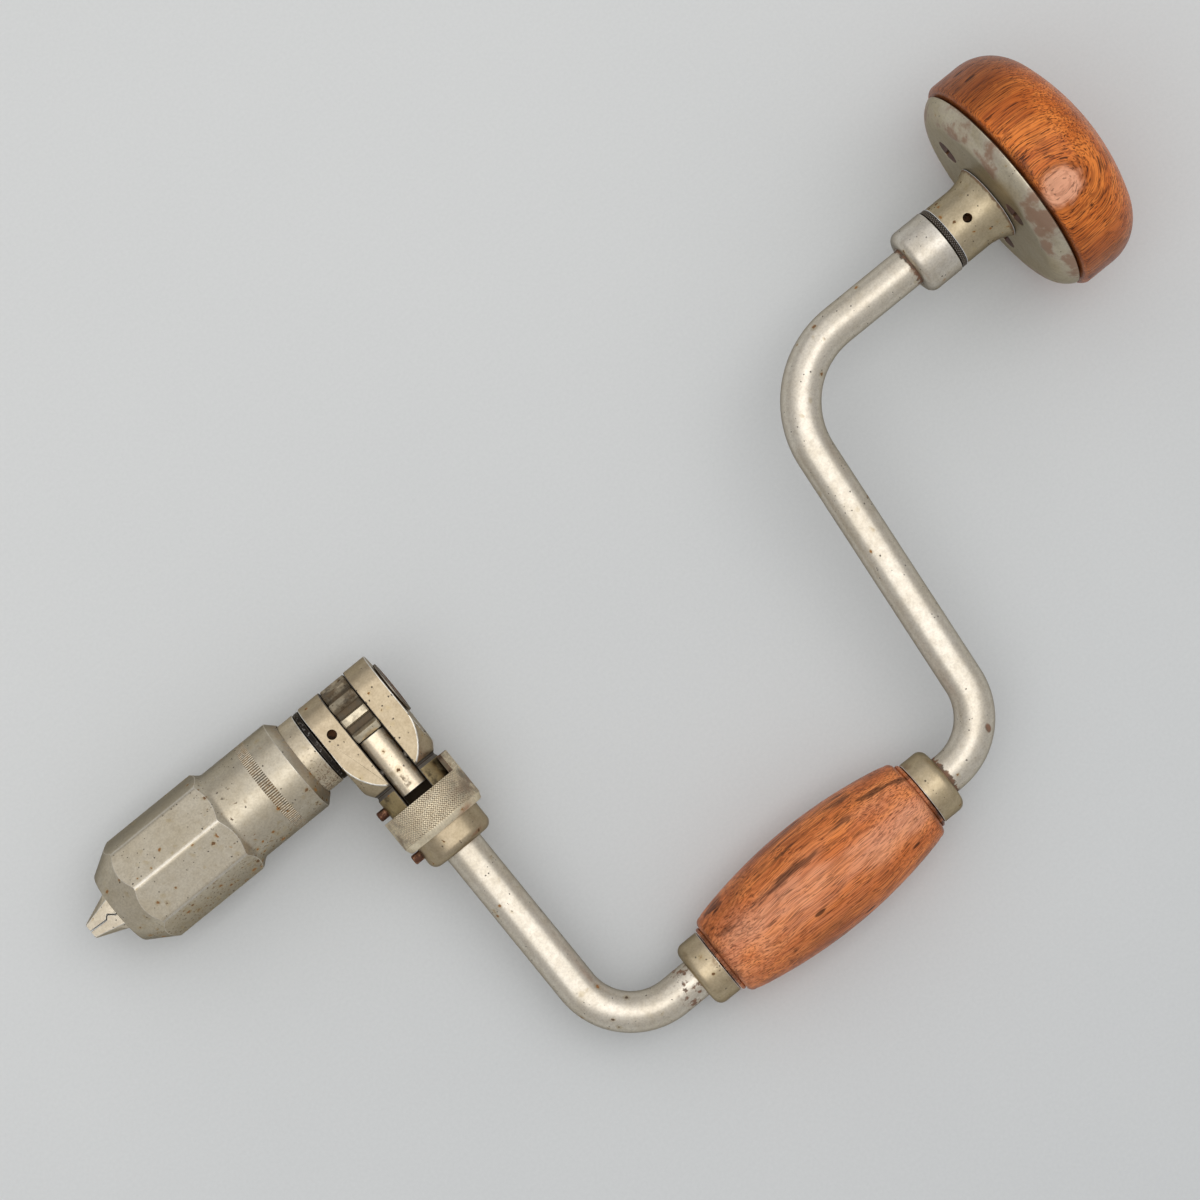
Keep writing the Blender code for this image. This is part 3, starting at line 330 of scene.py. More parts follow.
# %% [markdown]
# ## Wiring materials in code
#
# Every finish is made of nodes. An output socket is wrapped in a small class, so that sums of sockets
# read like sums of numbers, and each sum adds one Math node. The other helpers add one node each and
# hand back its output. What several finishes share goes into a node group, which gives out colours,
# masks and heights. The shader itself stays in the material.

# %% Sums of sockets
class Wire:
    """An output socket that can stand in a sum with numbers and other wires."""

    def __init__(self, socket):
        self.socket = socket
        self.tree = socket.id_data

    def __add__(self, other):
        return maths("ADD", self, other)

    def __sub__(self, other):
        return maths("SUBTRACT", self, other)

    def __rsub__(self, other):
        return maths("SUBTRACT", other, self)

    def __mul__(self, other):
        return maths("MULTIPLY", self, other)

    def __truediv__(self, other):
        return maths("DIVIDE", self, other)

    def __rtruediv__(self, other):
        return maths("DIVIDE", other, self)

    def __neg__(self):
        return maths("MULTIPLY", self, -1.0)

    def __abs__(self):
        return maths("ABSOLUTE", self)


def plug(socket, value):
    """Link a wire to an input socket, or set the socket to a plain value."""
    if isinstance(value, Wire):
        value.tree.links.new(value.socket, socket)
    elif socket.type == "RGBA":
        socket.default_value = (*value, 1.0)
    else:
        socket.default_value = value


def plug_all(sockets, values):
    for label, value in values.items():
        plug(sockets[label], value)


def add_node(kind, values, output=0, **settings):
    """Add a node to the tree that its wires come from, and hand back one of its outputs."""
    tree = next(value.tree for value in values.values() if isinstance(value, Wire))
    node = tree.nodes.new(kind)
    for setting, value in settings.items():
        setattr(node, setting, value)
    plug_all(node.inputs, values)
    return Wire(node.outputs[output])


def maths(operation, *values):
    return add_node("ShaderNodeMath", dict(enumerate(values)), operation=operation)


def root(value):
    return maths("SQRT", value)


def most(first, *others):
    """The largest of some values."""
    for other in others:
        first = maths("MAXIMUM", first, other)
    return first


# %% Other nodes
def vectors(operation, *values, output=0):
    return add_node("ShaderNodeVectorMath", dict(enumerate(values)), output, operation=operation)


def scaled(vector, factors):
    """A vector stretched by three factors."""
    return vectors("MULTIPLY", vector, factors)


def split(whole, kind="ShaderNodeSeparateXYZ"):
    """The three parts of a vector or a colour."""
    node = add_node(kind, {0: whole}).socket.node
    return [Wire(socket) for socket in node.outputs]


def joined(*parts):
    """A vector made of its parts."""
    return add_node("ShaderNodeCombineXYZ", dict(enumerate(parts)))


def mixed(factor, first, second, blend="MIX"):
    """A colour that goes from first to second as factor goes from 0 to 1."""
    colours = {0: factor, 6: first, 7: second}
    return add_node("ShaderNodeMix", colours, 2, data_type="RGBA", blend_type=blend)


def ramp(value, low, high):
    """0 at low and 1 at high, smooth between; with low above high it falls."""
    values = {"Value": value, "From Min": low, "From Max": high}
    return add_node("ShaderNodeMapRange", values, "Result", interpolation_type="SMOOTHSTEP")


def cloud(place, scale, detail=3.0, roughness=0.55):
    values = {"Vector": place, "Scale": scale, "Detail": detail, "Roughness": roughness}
    return add_node("ShaderNodeTexNoise", values)


def patches(place, scale, detail, low, high, roughness=0.55):
    """Soft-edged patches: 0 where a cloud is low and 1 where it is high."""
    return ramp(cloud(place, scale, detail, roughness), low, high)


def ragged(place, scale, detail, width):
    """A shift to and fro, as wide as this in all, that roughens an edge."""
    return cloud(place, scale, detail) * width - width / 2


def cells(place, scale):
    """Distance to the nearest of many scattered spots, and three random numbers for that spot."""
    distance = add_node("ShaderNodeTexVoronoi", {"Vector": place, "Scale": scale}, "Distance")
    colour = Wire(distance.socket.node.outputs["Color"])
    return distance, split(colour, "ShaderNodeSeparateColor")


# %% Group helpers
KINDS = {
    "vector": "NodeSocketVector",
    "colour": "NodeSocketColor",
    "number": "NodeSocketFloat",
    "count": "NodeSocketInt",
    "shape": "NodeSocketGeometry",
    "look": "NodeSocketMaterial",
}


def wires(node):
    """The outputs of a node, by their names in small letters."""
    outputs = [socket for socket in node.outputs if socket.name]
    return SimpleNamespace(**{socket.name.lower().replace(" ", "_"): Wire(socket) for socket in outputs})


def new_group(name, inputs, outputs, sort="ShaderNodeTree"):
    """A group with labelled sockets of each kind: its tree, what it is given, and its result's inputs."""
    tree = bpy.data.node_groups.new(name, sort)
    for side, sockets in (("INPUT", inputs), ("OUTPUT", outputs)):
        for kind, labels in sockets.items():
            for label in labels.split(", "):
                tree.interface.new_socket(label, in_out=side, socket_type=KINDS[kind])
    return tree, wires(tree.nodes.new("NodeGroupInput")), tree.nodes.new("NodeGroupOutput").inputs


def use(tree, group, values=None):
    """Place a group in a tree, set its inputs by name, and hand back its outputs."""
    node = tree.nodes.new("ShaderNodeGroup")
    node.node_tree = group
    plug_all(node.inputs, values or {})
    return wires(node)


# %% [markdown]
# ## Where a point lies on the brace
#
# Stains on the real tool sit at certain places: round a joint, in a knurl, under a lip. This group
# turns a point of a mesh back into the brace's own axes, with a Mapping node that undoes the brace's
# tilt, and also measures how far it is from the spindle and from the ratchet arm. A second group makes
# a soft band, which is 1 between two values and fades outside them.

# %% Groups for place and band
def make_place_group():
    outputs = {"vector": "Place", "number": "Along, Across, Up, From spindle, From arm"}
    tree, _, result = new_group("Place on the brace", {}, outputs)
    spot = Wire(tree.nodes.new("ShaderNodeTexCoord").outputs["Object"])
    values = {"Vector": spot, "Location": BRACE.translation, "Rotation": BRACE.to_euler()}
    place = add_node("ShaderNodeMapping", values, vector_type="TEXTURE")
    x, y, z = split(place)
    plug_all(result, {"Place": place, "Along": x, "Across": y, "Up": z})
    plug_all(result, {"From spindle": root(y * y + z * z), "From arm": root(x * x + z * z)})
    return tree


def make_band_group():
    tree, given, result = new_group("Band", {"number": "Value, Low, High, Soft"}, {"number": "Mask"})
    rise = ramp(given.value, given.low - given.soft, given.low)
    fall = ramp(given.value, given.high + given.soft, given.high)
    plug(result["Mask"], rise * fall)
    return tree


PLACE = make_place_group()
BAND = make_band_group()
print("groups:", PLACE.name, "and", BAND.name)


def band(value, low, high, soft):
    return use(value.tree, BAND, {"Value": value, "Low": low, "High": high, "Soft": soft}).mask


# %% [markdown]
# ## Worn nickel
#
# Nickel plate dulls to a warm silver, and yellows where hands and oil have been. Where the plate is
# broken, rust comes up as small orange specks and darker pits. The group lays these over each other:
# broad clouds of yellowing, a fine mottle, specks from one Voronoi texture and pits from another, with
# clouds that gather them into patches. Specks are not metal, so the group puts out Metallic as well.
# The Grime input takes a mask of the material's own, for stains that belong to one place, and on
# some pieces for painted shade in slots, holes and gaps.

# %% The worn nickel group
DULL = (0.90, 0.885, 0.86)
EDGE_TINT = (0.52, 0.50, 0.46)
YELLOWED = (0.47, 0.37, 0.21)
RUST_ORANGE = (0.38, 0.155, 0.03)
RUST_BROWN = (0.06, 0.030, 0.016)
RUST_STAIN = (0.17, 0.075, 0.030)
PIT = (0.035, 0.026, 0.02)
GRIME_AND_SHADE = (0.040, 0.026, 0.015)
SPECK_SCALE = 400.0
PIT_SCALE = 950.0


def scattered_marks(place, scale, share):
    """Ragged spots of many sizes: the spots, a wider halo round them, and a random number for each."""
    distance, chance = cells(place, scale)
    spread = distance + ragged(place, 2.6 * scale, 3.0, 0.56)
    size = chance[2] * 0.22 + 0.13
    rarity = 1.0 - share
    chosen = ramp(chance[0], rarity, rarity + 0.03)
    core = ramp(spread, size, size * 0.6)
    rim = ramp(spread, size * 2.2, size)
    return core * chosen, rim * chosen, chance[1]


def make_worn_nickel():
    inputs = {"vector": "Place", "colour": "Tone, Stain", "number": "Yellowing, Specks, Pits, Grime"}
    outputs = {"colour": "Colour", "number": "Roughness, Metallic, Height"}
    tree, given, result = new_group("Worn nickel", inputs, outputs)
    place = given.place
    mottle = cloud(place, 420.0, 6.0, 0.62)
    dulled = mixed(1.0, given.tone, DULL, "MULTIPLY")
    colour = mixed(ramp(mottle, 0.38, 0.70), given.tone, dulled)
    yellow = patches(place, 60.0, 3.0, 0.30, 0.78) * given.yellowing
    colour = mixed(yellow, colour, YELLOWED)
    grain = patches(place, 1500.0, 3.0, 0.35, 0.70, 0.6)
    colour = mixed(grain * 0.16, colour, RUST_BROWN)
    gathered = patches(place, 95.0, 2.0, 0.36, 0.62)
    speck, halo, kind = scattered_marks(place, SPECK_SCALE, gathered * given.specks)
    pit, _, _ = scattered_marks(place, PIT_SCALE, gathered * given.pits)
    colour = mixed(halo * 0.45, colour, YELLOWED)
    colour = mixed(speck * 0.9, colour, mixed(kind, RUST_ORANGE, RUST_BROWN))
    colour = mixed(pit * 0.8, colour, PIT)
    # the dark colour that the Grime mask lays on: stains, and painted shade where the mask paints it
    dirt = mixed(ramp(mottle, 0.34, 0.58), GRIME_AND_SHADE, given.stain)
    marred = most(speck, pit, given.grime)
    rough = yellow * 0.10 + (mottle * 0.16 + 0.26)
    height = cloud(place, 3000.0, 2.0) * 0.12 + mottle * 0.12
    plug(result["Colour"], mixed(given.grime, colour, dirt))
    plug(result["Roughness"], marred * 0.30 + rough)
    plug(result["Metallic"], marred * -0.75 + 1.0)
    plug(result["Height"], marred * -0.6 + height)
    return tree


WORN_NICKEL = make_worn_nickel()
print("group:", WORN_NICKEL.name)

# %% Make a nickel material
RELIEF = 0.00012
LOW_SIDE_SHADE = 0.58


def new_material(name):
    """A material, the inputs of its shader, and where its points lie on the brace."""
    material = bpy.data.materials.new(name)
    material.use_nodes = True
    tree = material.node_tree
    return material, tree.nodes["Principled BSDF"].inputs, use(tree, PLACE)


def relief(height, strength):
    return add_node("ShaderNodeBump", {"Height": height, "Strength": strength, "Distance": RELIEF})


def at(spot, value):
    """A value as it is, or the result of a function of a place on the brace."""
    return value(spot) if callable(value) else value


def nickel(name, tone, yellowing, specks, pits, grime=0.0, strength=0.35, stain=RUST_STAIN):
    """A plated finish; tone, specks and grime are values, or functions that make them from a place."""
    material, shader, spot = new_material(name)
    values = {"Place": spot.place, "Yellowing": yellowing, "Pits": pits, "Stain": stain}
    values.update({"Tone": at(spot, tone), "Specks": at(spot, specks), "Grime": at(spot, grime)})
    worn = use(material.node_tree, WORN_NICKEL, values)
    plug_all(shader, {"Base Color": worn.colour, "Roughness": worn.roughness, "Metallic": worn.metallic})
    plug_all(shader, {"Specular Tint": EDGE_TINT, "Normal": relief(worn.height, strength)})
    return material


def shaded_low_sides(tone, top, side):
    """A tone with painted shade: full at one height, and darker by a set share at a lower one."""
    dark = tuple(part * LOW_SIDE_SHADE for part in tone)
    return lambda spot: mixed(ramp(spot.up, top, side), tone, dark)


def patchy_dirt(scale, low, high):
    """A mask of dirt in patches, for small pieces that are stained all over."""
    return lambda spot: patches(spot.place, scale, 4.0, low, high)


RUBBED_TONE = (0.86, 0.83, 0.76)
COPPER_TONE = (0.34, 0.175, 0.105)
COPPER_STAIN = (0.12, 0.05, 0.03)
BRIGHT_EDGE = nickel("rubbed_edge", RUBBED_TONE, 0.10, 0.04, 0.04)
BRIGHT_STEEL = nickel("bright_steel", (0.66, 0.64, 0.60), 0.10, 0.05, 0.10)
DARK_STEEL = nickel("dark_oily_steel", (0.075, 0.070, 0.066), 0.15, 0.10, 0.30, strength=0.8)
copper_dirt = patchy_dirt(900.0, 0.35, 0.55)
COPPERY = nickel("coppery_pin", COPPER_TONE, 0.10, 0.20, 0.40, copper_dirt, 1.0, COPPER_STAIN)
print("materials:", ", ".join(material.name for material in (BRIGHT_EDGE, BRIGHT_STEEL, DARK_STEEL, COPPERY)))

# %% [markdown]
# ## Old varnished wood
#
# Head and grip are turned from one close-grained wood under a reddish varnish. Its figure is all in one
# direction, along the spindle, so one trick makes most of it: a noise texture whose space is squeezed
# along the fibres draws streaks, and the same at a finer scale draws pores. Nicks come from stretched
# Voronoi spots. Two masks are left to each piece: scuffs, where the varnish has gone pale, and dirt. On
# grip and knob the dirt mask also paints shade on the flanks, and on the grip the scuff mask paints a highlight.

# %% The varnished wood group
WOOD_LIGHT = (0.90, 0.265, 0.050)
WOOD_MID = (0.68, 0.168, 0.027)
WOOD_DEEP = (0.20, 0.037, 0.007)
WOOD_PORE_AND_SHADE = (0.030, 0.011, 0.006)
WOOD_SCUFF_AND_SHEEN = (0.93, 0.500, 0.330)
SWAY = (0.0, 0.006, 0.006)
STREAK_SQUEEZE = (16.0, 260.0, 260.0)
FIBRE_SQUEEZE = (45.0, 2300.0, 2300.0)
DASH_SQUEEZE = (130.0, 3000.0, 3000.0)
NICK_SQUEEZE = (0.32, 1.0, 1.0)


def make_varnished_wood():
    inputs = {"vector": "Place", "number": "Pores, Scuff, Dirt"}
    outputs = {"colour": "Colour", "number": "Roughness, Coat, Height"}
    tree, given, result = new_group("Varnished wood", inputs, outputs)
    place, scuff = given.place, given.scuff
    sway = add_node("ShaderNodeTexNoise", {"Vector": place, "Scale": 32.0, "Detail": 2.0}, "Color")
    grain = vectors("MULTIPLY_ADD", sway, SWAY, place)
    streak = cloud(scaled(grain, STREAK_SQUEEZE), 1.0, 4.0)
    fibre = cloud(scaled(grain, FIBRE_SQUEEZE), 1.0, 3.0)
    dash = cloud(scaled(grain, DASH_SQUEEZE), 1.0, 2.0, 0.5)
    colour = mixed(ramp(streak, 0.36, 0.62), WOOD_LIGHT, WOOD_MID)
    colour = mixed(patches(place, 45.0, 3.0, 0.48, 0.72) * 0.40, colour, WOOD_DEEP)
    # the Scuff mask also carries a painted highlight on the grip
    colour = mixed(scuff * 0.74, colour, WOOD_SCUFF_AND_SHEEN)
    colour = mixed(ramp(fibre, 0.45, 0.60) * (scuff * -0.30 + 0.58), colour, WOOD_DEEP)
    pore = ramp(dash, 0.56, 0.64) * given.pores * (scuff * -0.4 + 1.0)
    colour = mixed(pore, colour, WOOD_PORE_AND_SHADE)
    distance, chance = cells(scaled(place, NICK_SQUEEZE), 260.0)
    nick = ramp(distance, 0.21, 0.13) * ramp(chance[0], 0.84, 0.86)
    colour = mixed(nick * 0.8, colour, WOOD_PORE_AND_SHADE)
    dulling = most(pore, nick)
    # the Dirt mask also carries painted shade on the flanks of grip and knob
    plug(result["Colour"], mixed(given.dirt, colour, WOOD_PORE_AND_SHADE))
    plug(result["Roughness"], scuff * 0.12 + (fibre * 0.18 + 0.34))
    plug(result["Coat"], dulling * -0.20 + 0.28)
    plug(result["Height"], dulling * -0.7 + fibre * 0.25)
    return tree


VARNISHED_WOOD = make_varnished_wood()
print("group:", VARNISHED_WOOD.name)


# %% Make a wood material
def varnished(name, pores, scuff, dirt, figure=None):
    """A varnished finish; scuff and dirt make masks from a place on the brace, and figure bends the grain."""
    material, shader, spot = new_material(name)
    grain = figure(spot) if figure else spot.place
    values = {"Place": grain, "Pores": pores, "Scuff": scuff(spot), "Dirt": dirt(spot)}
    wood = use(material.node_tree, VARNISHED_WOOD, values)
    plug_all(shader, {"Base Color": wood.colour, "Roughness": wood.roughness, "Coat Weight": wood.coat})
    plug_all(shader, {"Coat Roughness": 0.22, "Specular IOR Level": 0.08, "Normal": relief(wood.height, 0.5)})
    return material


# %% [markdown]
# ## Trees for what repeats
#
# Three things on the brace repeat by a rule: the knurls, the ratchet teeth, and the rings of screws and
# balls. A knurl is cut by two wheels that press crossing ridges into a turned band, so its tree moves
# points of a finely divided lathe inwards by the lower of two slanted waves. With no slant the same
# tree cuts a straight knurl. Teeth are cut in the same way, by a wave with flat tops and flat roots.

# %% Helpers for Geometry Nodes
def new_tree(name, **sockets):
    """A tree that turns a mesh into another, with labelled inputs of each kind."""
    inputs = {"shape": "Geometry", **sockets, "look": "Material"}
    return new_group(name, inputs, {"shape": "Geometry"}, "GeometryNodeTree")


def end_tree(result, shape, look):
    real = add_node("GeometryNodeRealizeInstances", {0: shape})
    plug(result[0], add_node("GeometryNodeSetMaterial", {"Geometry": real, "Material": look}))


def through(thing, tree, values):
    """Run a piece through a tree, and keep the result as a plain mesh."""
    step = thing.modifiers.new(tree.name, "NODES")
    step.node_group = tree
    for socket in tree.interface.items_tree:
        if socket.in_out == "INPUT" and socket.name in values:
            step[socket.identifier] = values[socket.name]
    return worked(thing)


def about_axis(tree):
    """The angle round Z in turns, the height along Z and the distance from Z of each point."""
    spot = Wire(tree.nodes.new("GeometryNodeInputPosition").outputs[0])
    x, y, z = split(spot)
    return maths("ARCTAN2", y, x) / (2 * math.pi), z, root(x * x + y * y), spot


def move_outwards(shape, spot, distance, radius):
    """Move points square to Z by a distance."""
    flat = scaled(spot, (1.0, 1.0, 0.0))
    offset = add_node("ShaderNodeVectorMath", {0: flat, "Scale": distance / radius}, operation="SCALE")
    return add_node("GeometryNodeSetPosition", {"Geometry": shape, "Offset": offset})


# %% The trees
def make_knurl_tree():
    numbers = "Ridges, Slant, Depth, Flat top, Start, End, Outside"
    tree, given, result = new_tree("Knurl", number=numbers)
    turns, along, radius, spot = about_axis(tree)
    count = turns * given.ridges
    slant = along * given.slant
    waves = [abs(maths("FRACT", phase) * 2.0 - 1.0) for phase in (count + slant, count - slant)]
    groove = most((most(*waves) - given.flat_top) / (1.0 - given.flat_top), 0.0)
    within = maths("GREATER_THAN", along, given.start) * maths("LESS_THAN", along, given.end)
    within = within * maths("GREATER_THAN", radius, given.outside)
    cut = -(groove * given.depth * within)
    end_tree(result, move_outwards(given.geometry, spot, cut, radius), given.material)
    return tree


def make_tooth_tree():
    numbers = "Teeth, Tip radius, Root radius, Half land, Half root, Outside"
    tree, given, result = new_tree("Ratchet teeth", number=numbers)
    turns, _, radius, spot = about_axis(tree)
    from_middle = abs(maths("FRACT", turns * given.teeth + 0.5) - 0.5)
    flank = {"Value": from_middle, "From Min": given.half_land, "From Max": 0.5 - given.half_root}
    flank.update({"To Min": 0.0, "To Max": given.root_radius - given.tip_radius})
    cut = add_node("ShaderNodeMapRange", flank, "Result") * maths("GREATER_THAN", radius, given.outside)
    end_tree(result, move_outwards(given.geometry, spot, cut, radius), given.material)
    return tree


def make_circle_tree():
    tree, given, result = new_tree("Copies on a circle", count="Count", number="Circle, First")
    row = add_node("GeometryNodeMeshLine", {"Count": given.count})
    number = Wire(tree.nodes.new("GeometryNodeInputIndex").outputs[0])
    angle = number * (2 * math.pi / given.count) + given.first
    place = joined(maths("COSINE", angle) * given.circle, maths("SINE", angle) * given.circle)
    spread = add_node("GeometryNodeSetPosition", {"Geometry": row, "Position": place})
    copies = add_node("GeometryNodeInstanceOnPoints", {"Points": spread, "Instance": given.geometry})
    end_tree(result, copies, given.material)
    return tree


KNURL = make_knurl_tree()
TEETH = make_tooth_tree()
CIRCLE = make_circle_tree()
for tree in (KNURL, TEETH, CIRCLE):
    print("tree:", tree.name, "with", len(tree.nodes), "nodes")

# %% Press a knurl, and copy on a circle
POINTS_PER_RIDGE = 6


def knurl_blank(name, start, end, inner, outer, rows, ridges):
    """A turned band with rows of points for a knurl."""
    rim = [(along, outer) for along in evenly(start, end, rows)]
    return blank(name, lathe([(start, inner), *rim, (end, inner)], ridges * POINTS_PER_RIDGE))


def knurled(thing, axis, look, shape, start, end, outside):
    """Press a knurl of (ridges, slant, depth, flat top) into a turned blank, and lay it along its axis."""
    ridges, slant, depth, flat_top = shape
    values = {"Ridges": float(ridges), "Slant": slant, "Depth": depth, "Flat top": flat_top}
    values.update({"Start": start, "End": end, "Outside": outside, "Material": look})
    thing = through(thing, KNURL, values)
    thing.data.transform(axis)
    return finished(thing, look)


def on_circle(thing, look, count, circle, first, along):
    """Copies of a thing on a circle round the spindle."""
    thing = through(thing, CIRCLE, {"Count": count, "Circle": circle, "First": first, "Material": look})
    thing.data.transform(ALONG_SPINDLE @ Matrix.Translation((0.0, 0.0, along)))
    return finished(thing, look)


# %% [markdown]
# ## The bent crank
#
# The crank is one steel rod, bent cold at three corners. A curve with a round bevel would make it, but
# a loft of circles along a rounded route gives full control: the last stretch, hidden in the head, is
# turned down to the journal that the head spins on. Rust has crept out of the collars at each end.

# %% Bend the crank
ROD_RADIUS = 0.00635
ROD_SKIN = ROD_RADIUS - 0.00003
ROD_RUST = (0.20, 0.075, 0.030)
JOURNAL_RADIUS = 0.0050
ARM_TO_ARM = 0.1478
UPPER_CORNER = 0.1616
ELBOW = 0.021
HEAD_BEND = 0.030
BEND_STEPS = 36
ROD_SOCKET = 0.0338
COLLAR_START, COLLAR_END, _, COLLAR_RADIUS = turned_size("head_collar", ALONG_SPINDLE)
_, CRANK_END, _, _ = turned_size("crank_frame", ALONG_SPINDLE)
ROD_END = (COLLAR_START + COLLAR_END) / 2
GRIP_START, GRIP_END, _, GRIP_FULL = turned_size("handle_grip", ALONG_GRIP)
GRIP_RADIUS = GRIP_FULL - 0.00006


def tube(route, sides):
    """A loft of circles along a flat route of (x, y, radius) points."""
    spots = [Vector((x, y, 0.0)) for x, y, _ in route]
    ends = [spots[0], *spots, spots[-1]]
    sections = []
    for before, spot, after, (_, _, radius) in zip(ends, spots, ends[2:], route):
        along = ((after - spot).normalized() + (spot - before).normalized()).normalized()
        across = Vector((-along.y, along.x, 0.0))
        circle = [polar(radius, 360 * side / sides) for side in range(sides)]
        sections.append([spot + across * out + Vector((0.0, 0.0, up)) for out, up in circle])
    return loft(sections)


def rust_at_collars(spot):
    """Rust round the rod where it enters the head collar and the grip collars, and a few nicks."""
    along = spot.along + ragged(spot.place, 700.0, 4.0, 0.004)
    head = band(along, COLLAR_START - 0.0006, COLLAR_END, 0.0010)
    on_grip = ramp(spot.across, -0.105, -0.112)
    near = band(along, GRIP_START - 0.0140, GRIP_START, 0.0040)
    far = band(along, GRIP_END, GRIP_END + 0.0098, 0.0006)
    broken = patches(spot.place, 520.0, 5.0, 0.50, 0.62)
    at_grip = most(near * broken, far) * on_grip
    distance, chance = cells(scaled(spot.place, (1.0, 0.6, 1.0)), 95.0)
    nick = ramp(distance, 0.13, 0.08) * ramp(chance[1], 0.90, 0.92)
    journal = ramp(spot.along, COLLAR_END - 0.0005, COLLAR_END)
    return most(most(nick, head, at_grip) * 0.85, journal)


# painted shade: the rod's tone darkens from its top down to its low side
CRANK_TONE = shaded_low_sides((0.80, 0.735, 0.63), 0.0052, -0.0015)
CRANK_NICKEL = nickel("crank_nickel", CRANK_TONE, 0.22, 0.14, 0.20, rust_at_collars, stain=ROD_RUST)
corners = [
    (0.0, -ROD_SOCKET, 0.0),
    (0.0, -THROW, ELBOW),
    (ARM_TO_ARM, -THROW, ELBOW),
    (UPPER_CORNER, 0.0, HEAD_BEND),
    (ROD_END, 0.0, 0.0),
]
route = [(x, y, ROD_SKIN) for x, y in rounded(corners, BEND_STEPS)]
route += [(ROD_END + SLIVER, 0.0, JOURNAL_RADIUS), (CRANK_END, 0.0, JOURNAL_RADIUS)]
settle(finished(blank("bent_crank", tube(route, ROD_SIDES)), CRANK_NICKEL), "crank_frame")

# %% [markdown]
# ## The grip and its collars
#
# The grip is a wooden barrel that spins on the rod between two pinned collars. Its outline swells as a
# flattened sine, and each end has a rolled edge with a fine groove behind a narrow bead, which shows as
# a double dark line. The collars are turned with one rounded end.

# %% Turn the grip
GRIP_END_RADIUS = 0.0138
GRIP_ROLL = 0.0022
GRIP_BEAD = 0.0013
GRIP_STEPS = 56
GRIP_SWELL = 0.8
BEAD_DEPTH = 0.0004
WOOD_HOLE = ROD_RADIUS + 0.0003


def grip_dirt_and_shade(spot):
    """Hand dirt at the ends and in patches on both flanks, painted shade over both flanks, and long dark lines on
    the far one.
    """
    aside = spot.across + THROW
    ends = ramp(spot.along, GRIP_START + 0.0045, GRIP_START)
    ends = most(ends, ramp(spot.along, GRIP_END - 0.0045, GRIP_END))
    flank = ramp(abs(aside), 0.0080, 0.0185)
    patchy = patches(scaled(spot.place, (0.5, 1.0, 1.0)), 130.0, 4.0, 0.42, 0.68)
    dirt = ends * 0.25 + most(ends, flank) * patchy * 0.70
    lines = patches(scaled(spot.place, (0.10, 1.0, 1.0)), 330.0, 4.0, 0.52, 0.64)
    # flank * 0.20 is painted shade over both flanks
    return most(dirt, flank * 0.20, lines * ramp(aside, 0.0015, 0.0095) * 0.75)


def grip_rub_and_sheen(spot):
    """Varnish rubbed a little pale all over by hands, and pale worn patches made strongest along the top and
    bottom of the barrel as a painted highlight.
    """
    worn = patches(scaled(spot.place, (0.4, 1.0, 1.0)), 75.0, 3.0, 0.32, 0.66)
    return ramp(abs(spot.across + THROW), 0.015, 0.003) * worn * 0.62 + 0.10


def grip_profile():
    face = GRIP_START + GRIP_BEAD
    lip = GRIP_END_RADIUS - GRIP_ROLL
    half = [(GRIP_START, WOOD_HOLE), (GRIP_START, lip - BEAD_DEPTH), (GRIP_START + BEAD_DEPTH, lip)]
    half += [(face - BEAD_DEPTH, lip), (face, lip - BEAD_DEPTH), (face + BEAD_DEPTH / 2, lip)]
    half += arc((face + GRIP_ROLL, lip), GRIP_ROLL, 180, 90, 8)[1:]
    both_ends = GRIP_START + GRIP_END
    first = half[-1][0]
    barrel = []
    for share in evenly(0.0, 1.0, GRIP_STEPS)[1:-1]:
        bulge = (GRIP_RADIUS - GRIP_END_RADIUS) * math.sin(math.pi * share) ** GRIP_SWELL
        barrel.append((first + (both_ends - 2 * first) * share, GRIP_END_RADIUS + bulge))
    return half + barrel + [(both_ends - along, radius) for along, radius in reversed(half)]


GRIP_WOOD = varnished("grip_wood", 0.70, grip_rub_and_sheen, grip_dirt_and_shade)
settle(finished(blank("grip_barrel", lathe(grip_profile()), ALONG_GRIP), GRIP_WOOD), "handle_grip")

# %% Turn the grip collars
COLLAR_ROUND = 0.0028
ROD_HOLE = ROD_RADIUS + 0.00005


def oily_collar(spot):
    """Brown stain that has run along the collars from the wood."""
    run = patches(scaled(spot.place, (0.7, 1.0, 1.0)), 260.0, 5.0, 0.52, 0.72)
    from_wood = band(spot.along, GRIP_START - 0.0010, GRIP_END + 0.0010, 0.0030)
    line = band(spot.along, GRIP_START - 0.0004, GRIP_END + 0.0004, 0.0004)
    return most(run * from_wood * 0.6, line)


# painted shade: the collars darken from their top down to their low side
COLLAR_TONE = shaded_low_sides((0.59, 0.485, 0.33), 0.0080, -0.0010)
COLLAR_NICKEL = nickel("collar_nickel", COLLAR_TONE, 0.45, 0.35, 0.30, oily_collar)
for name, node, near, far in (
    ("grip_collar_near_ratchet", "grip_collar_ratchet_side", COLLAR_ROUND, 0.0),
    ("grip_collar_near_head", "grip_collar_head_side", 0.0, COLLAR_ROUND),
):
    start, end, _, radius = turned_size(node, ALONG_GRIP)
    profile = [(start, ROD_HOLE, 0.0), (start, radius, near), (end, radius, far), (end, ROD_HOLE, 0.0)]
    collar = blank(name, lathe(rounded(profile)), ALONG_GRIP)
    settle(finished(collar, COLLAR_NICKEL, BRIGHT_EDGE), node)

# %% [markdown]
# ## The head's bearing
#
# The head turns on ten balls between a collar pinned to the rod and the neck. A narrow black ring with
# a fine crossed knurl keeps dust out. The knurl tree is used here for the first time, on a lathe with
# enough segments for six points to a ridge.

# %% The head collar
RACE_OUTER = 0.0095
RACE_DEPTH = 0.0012


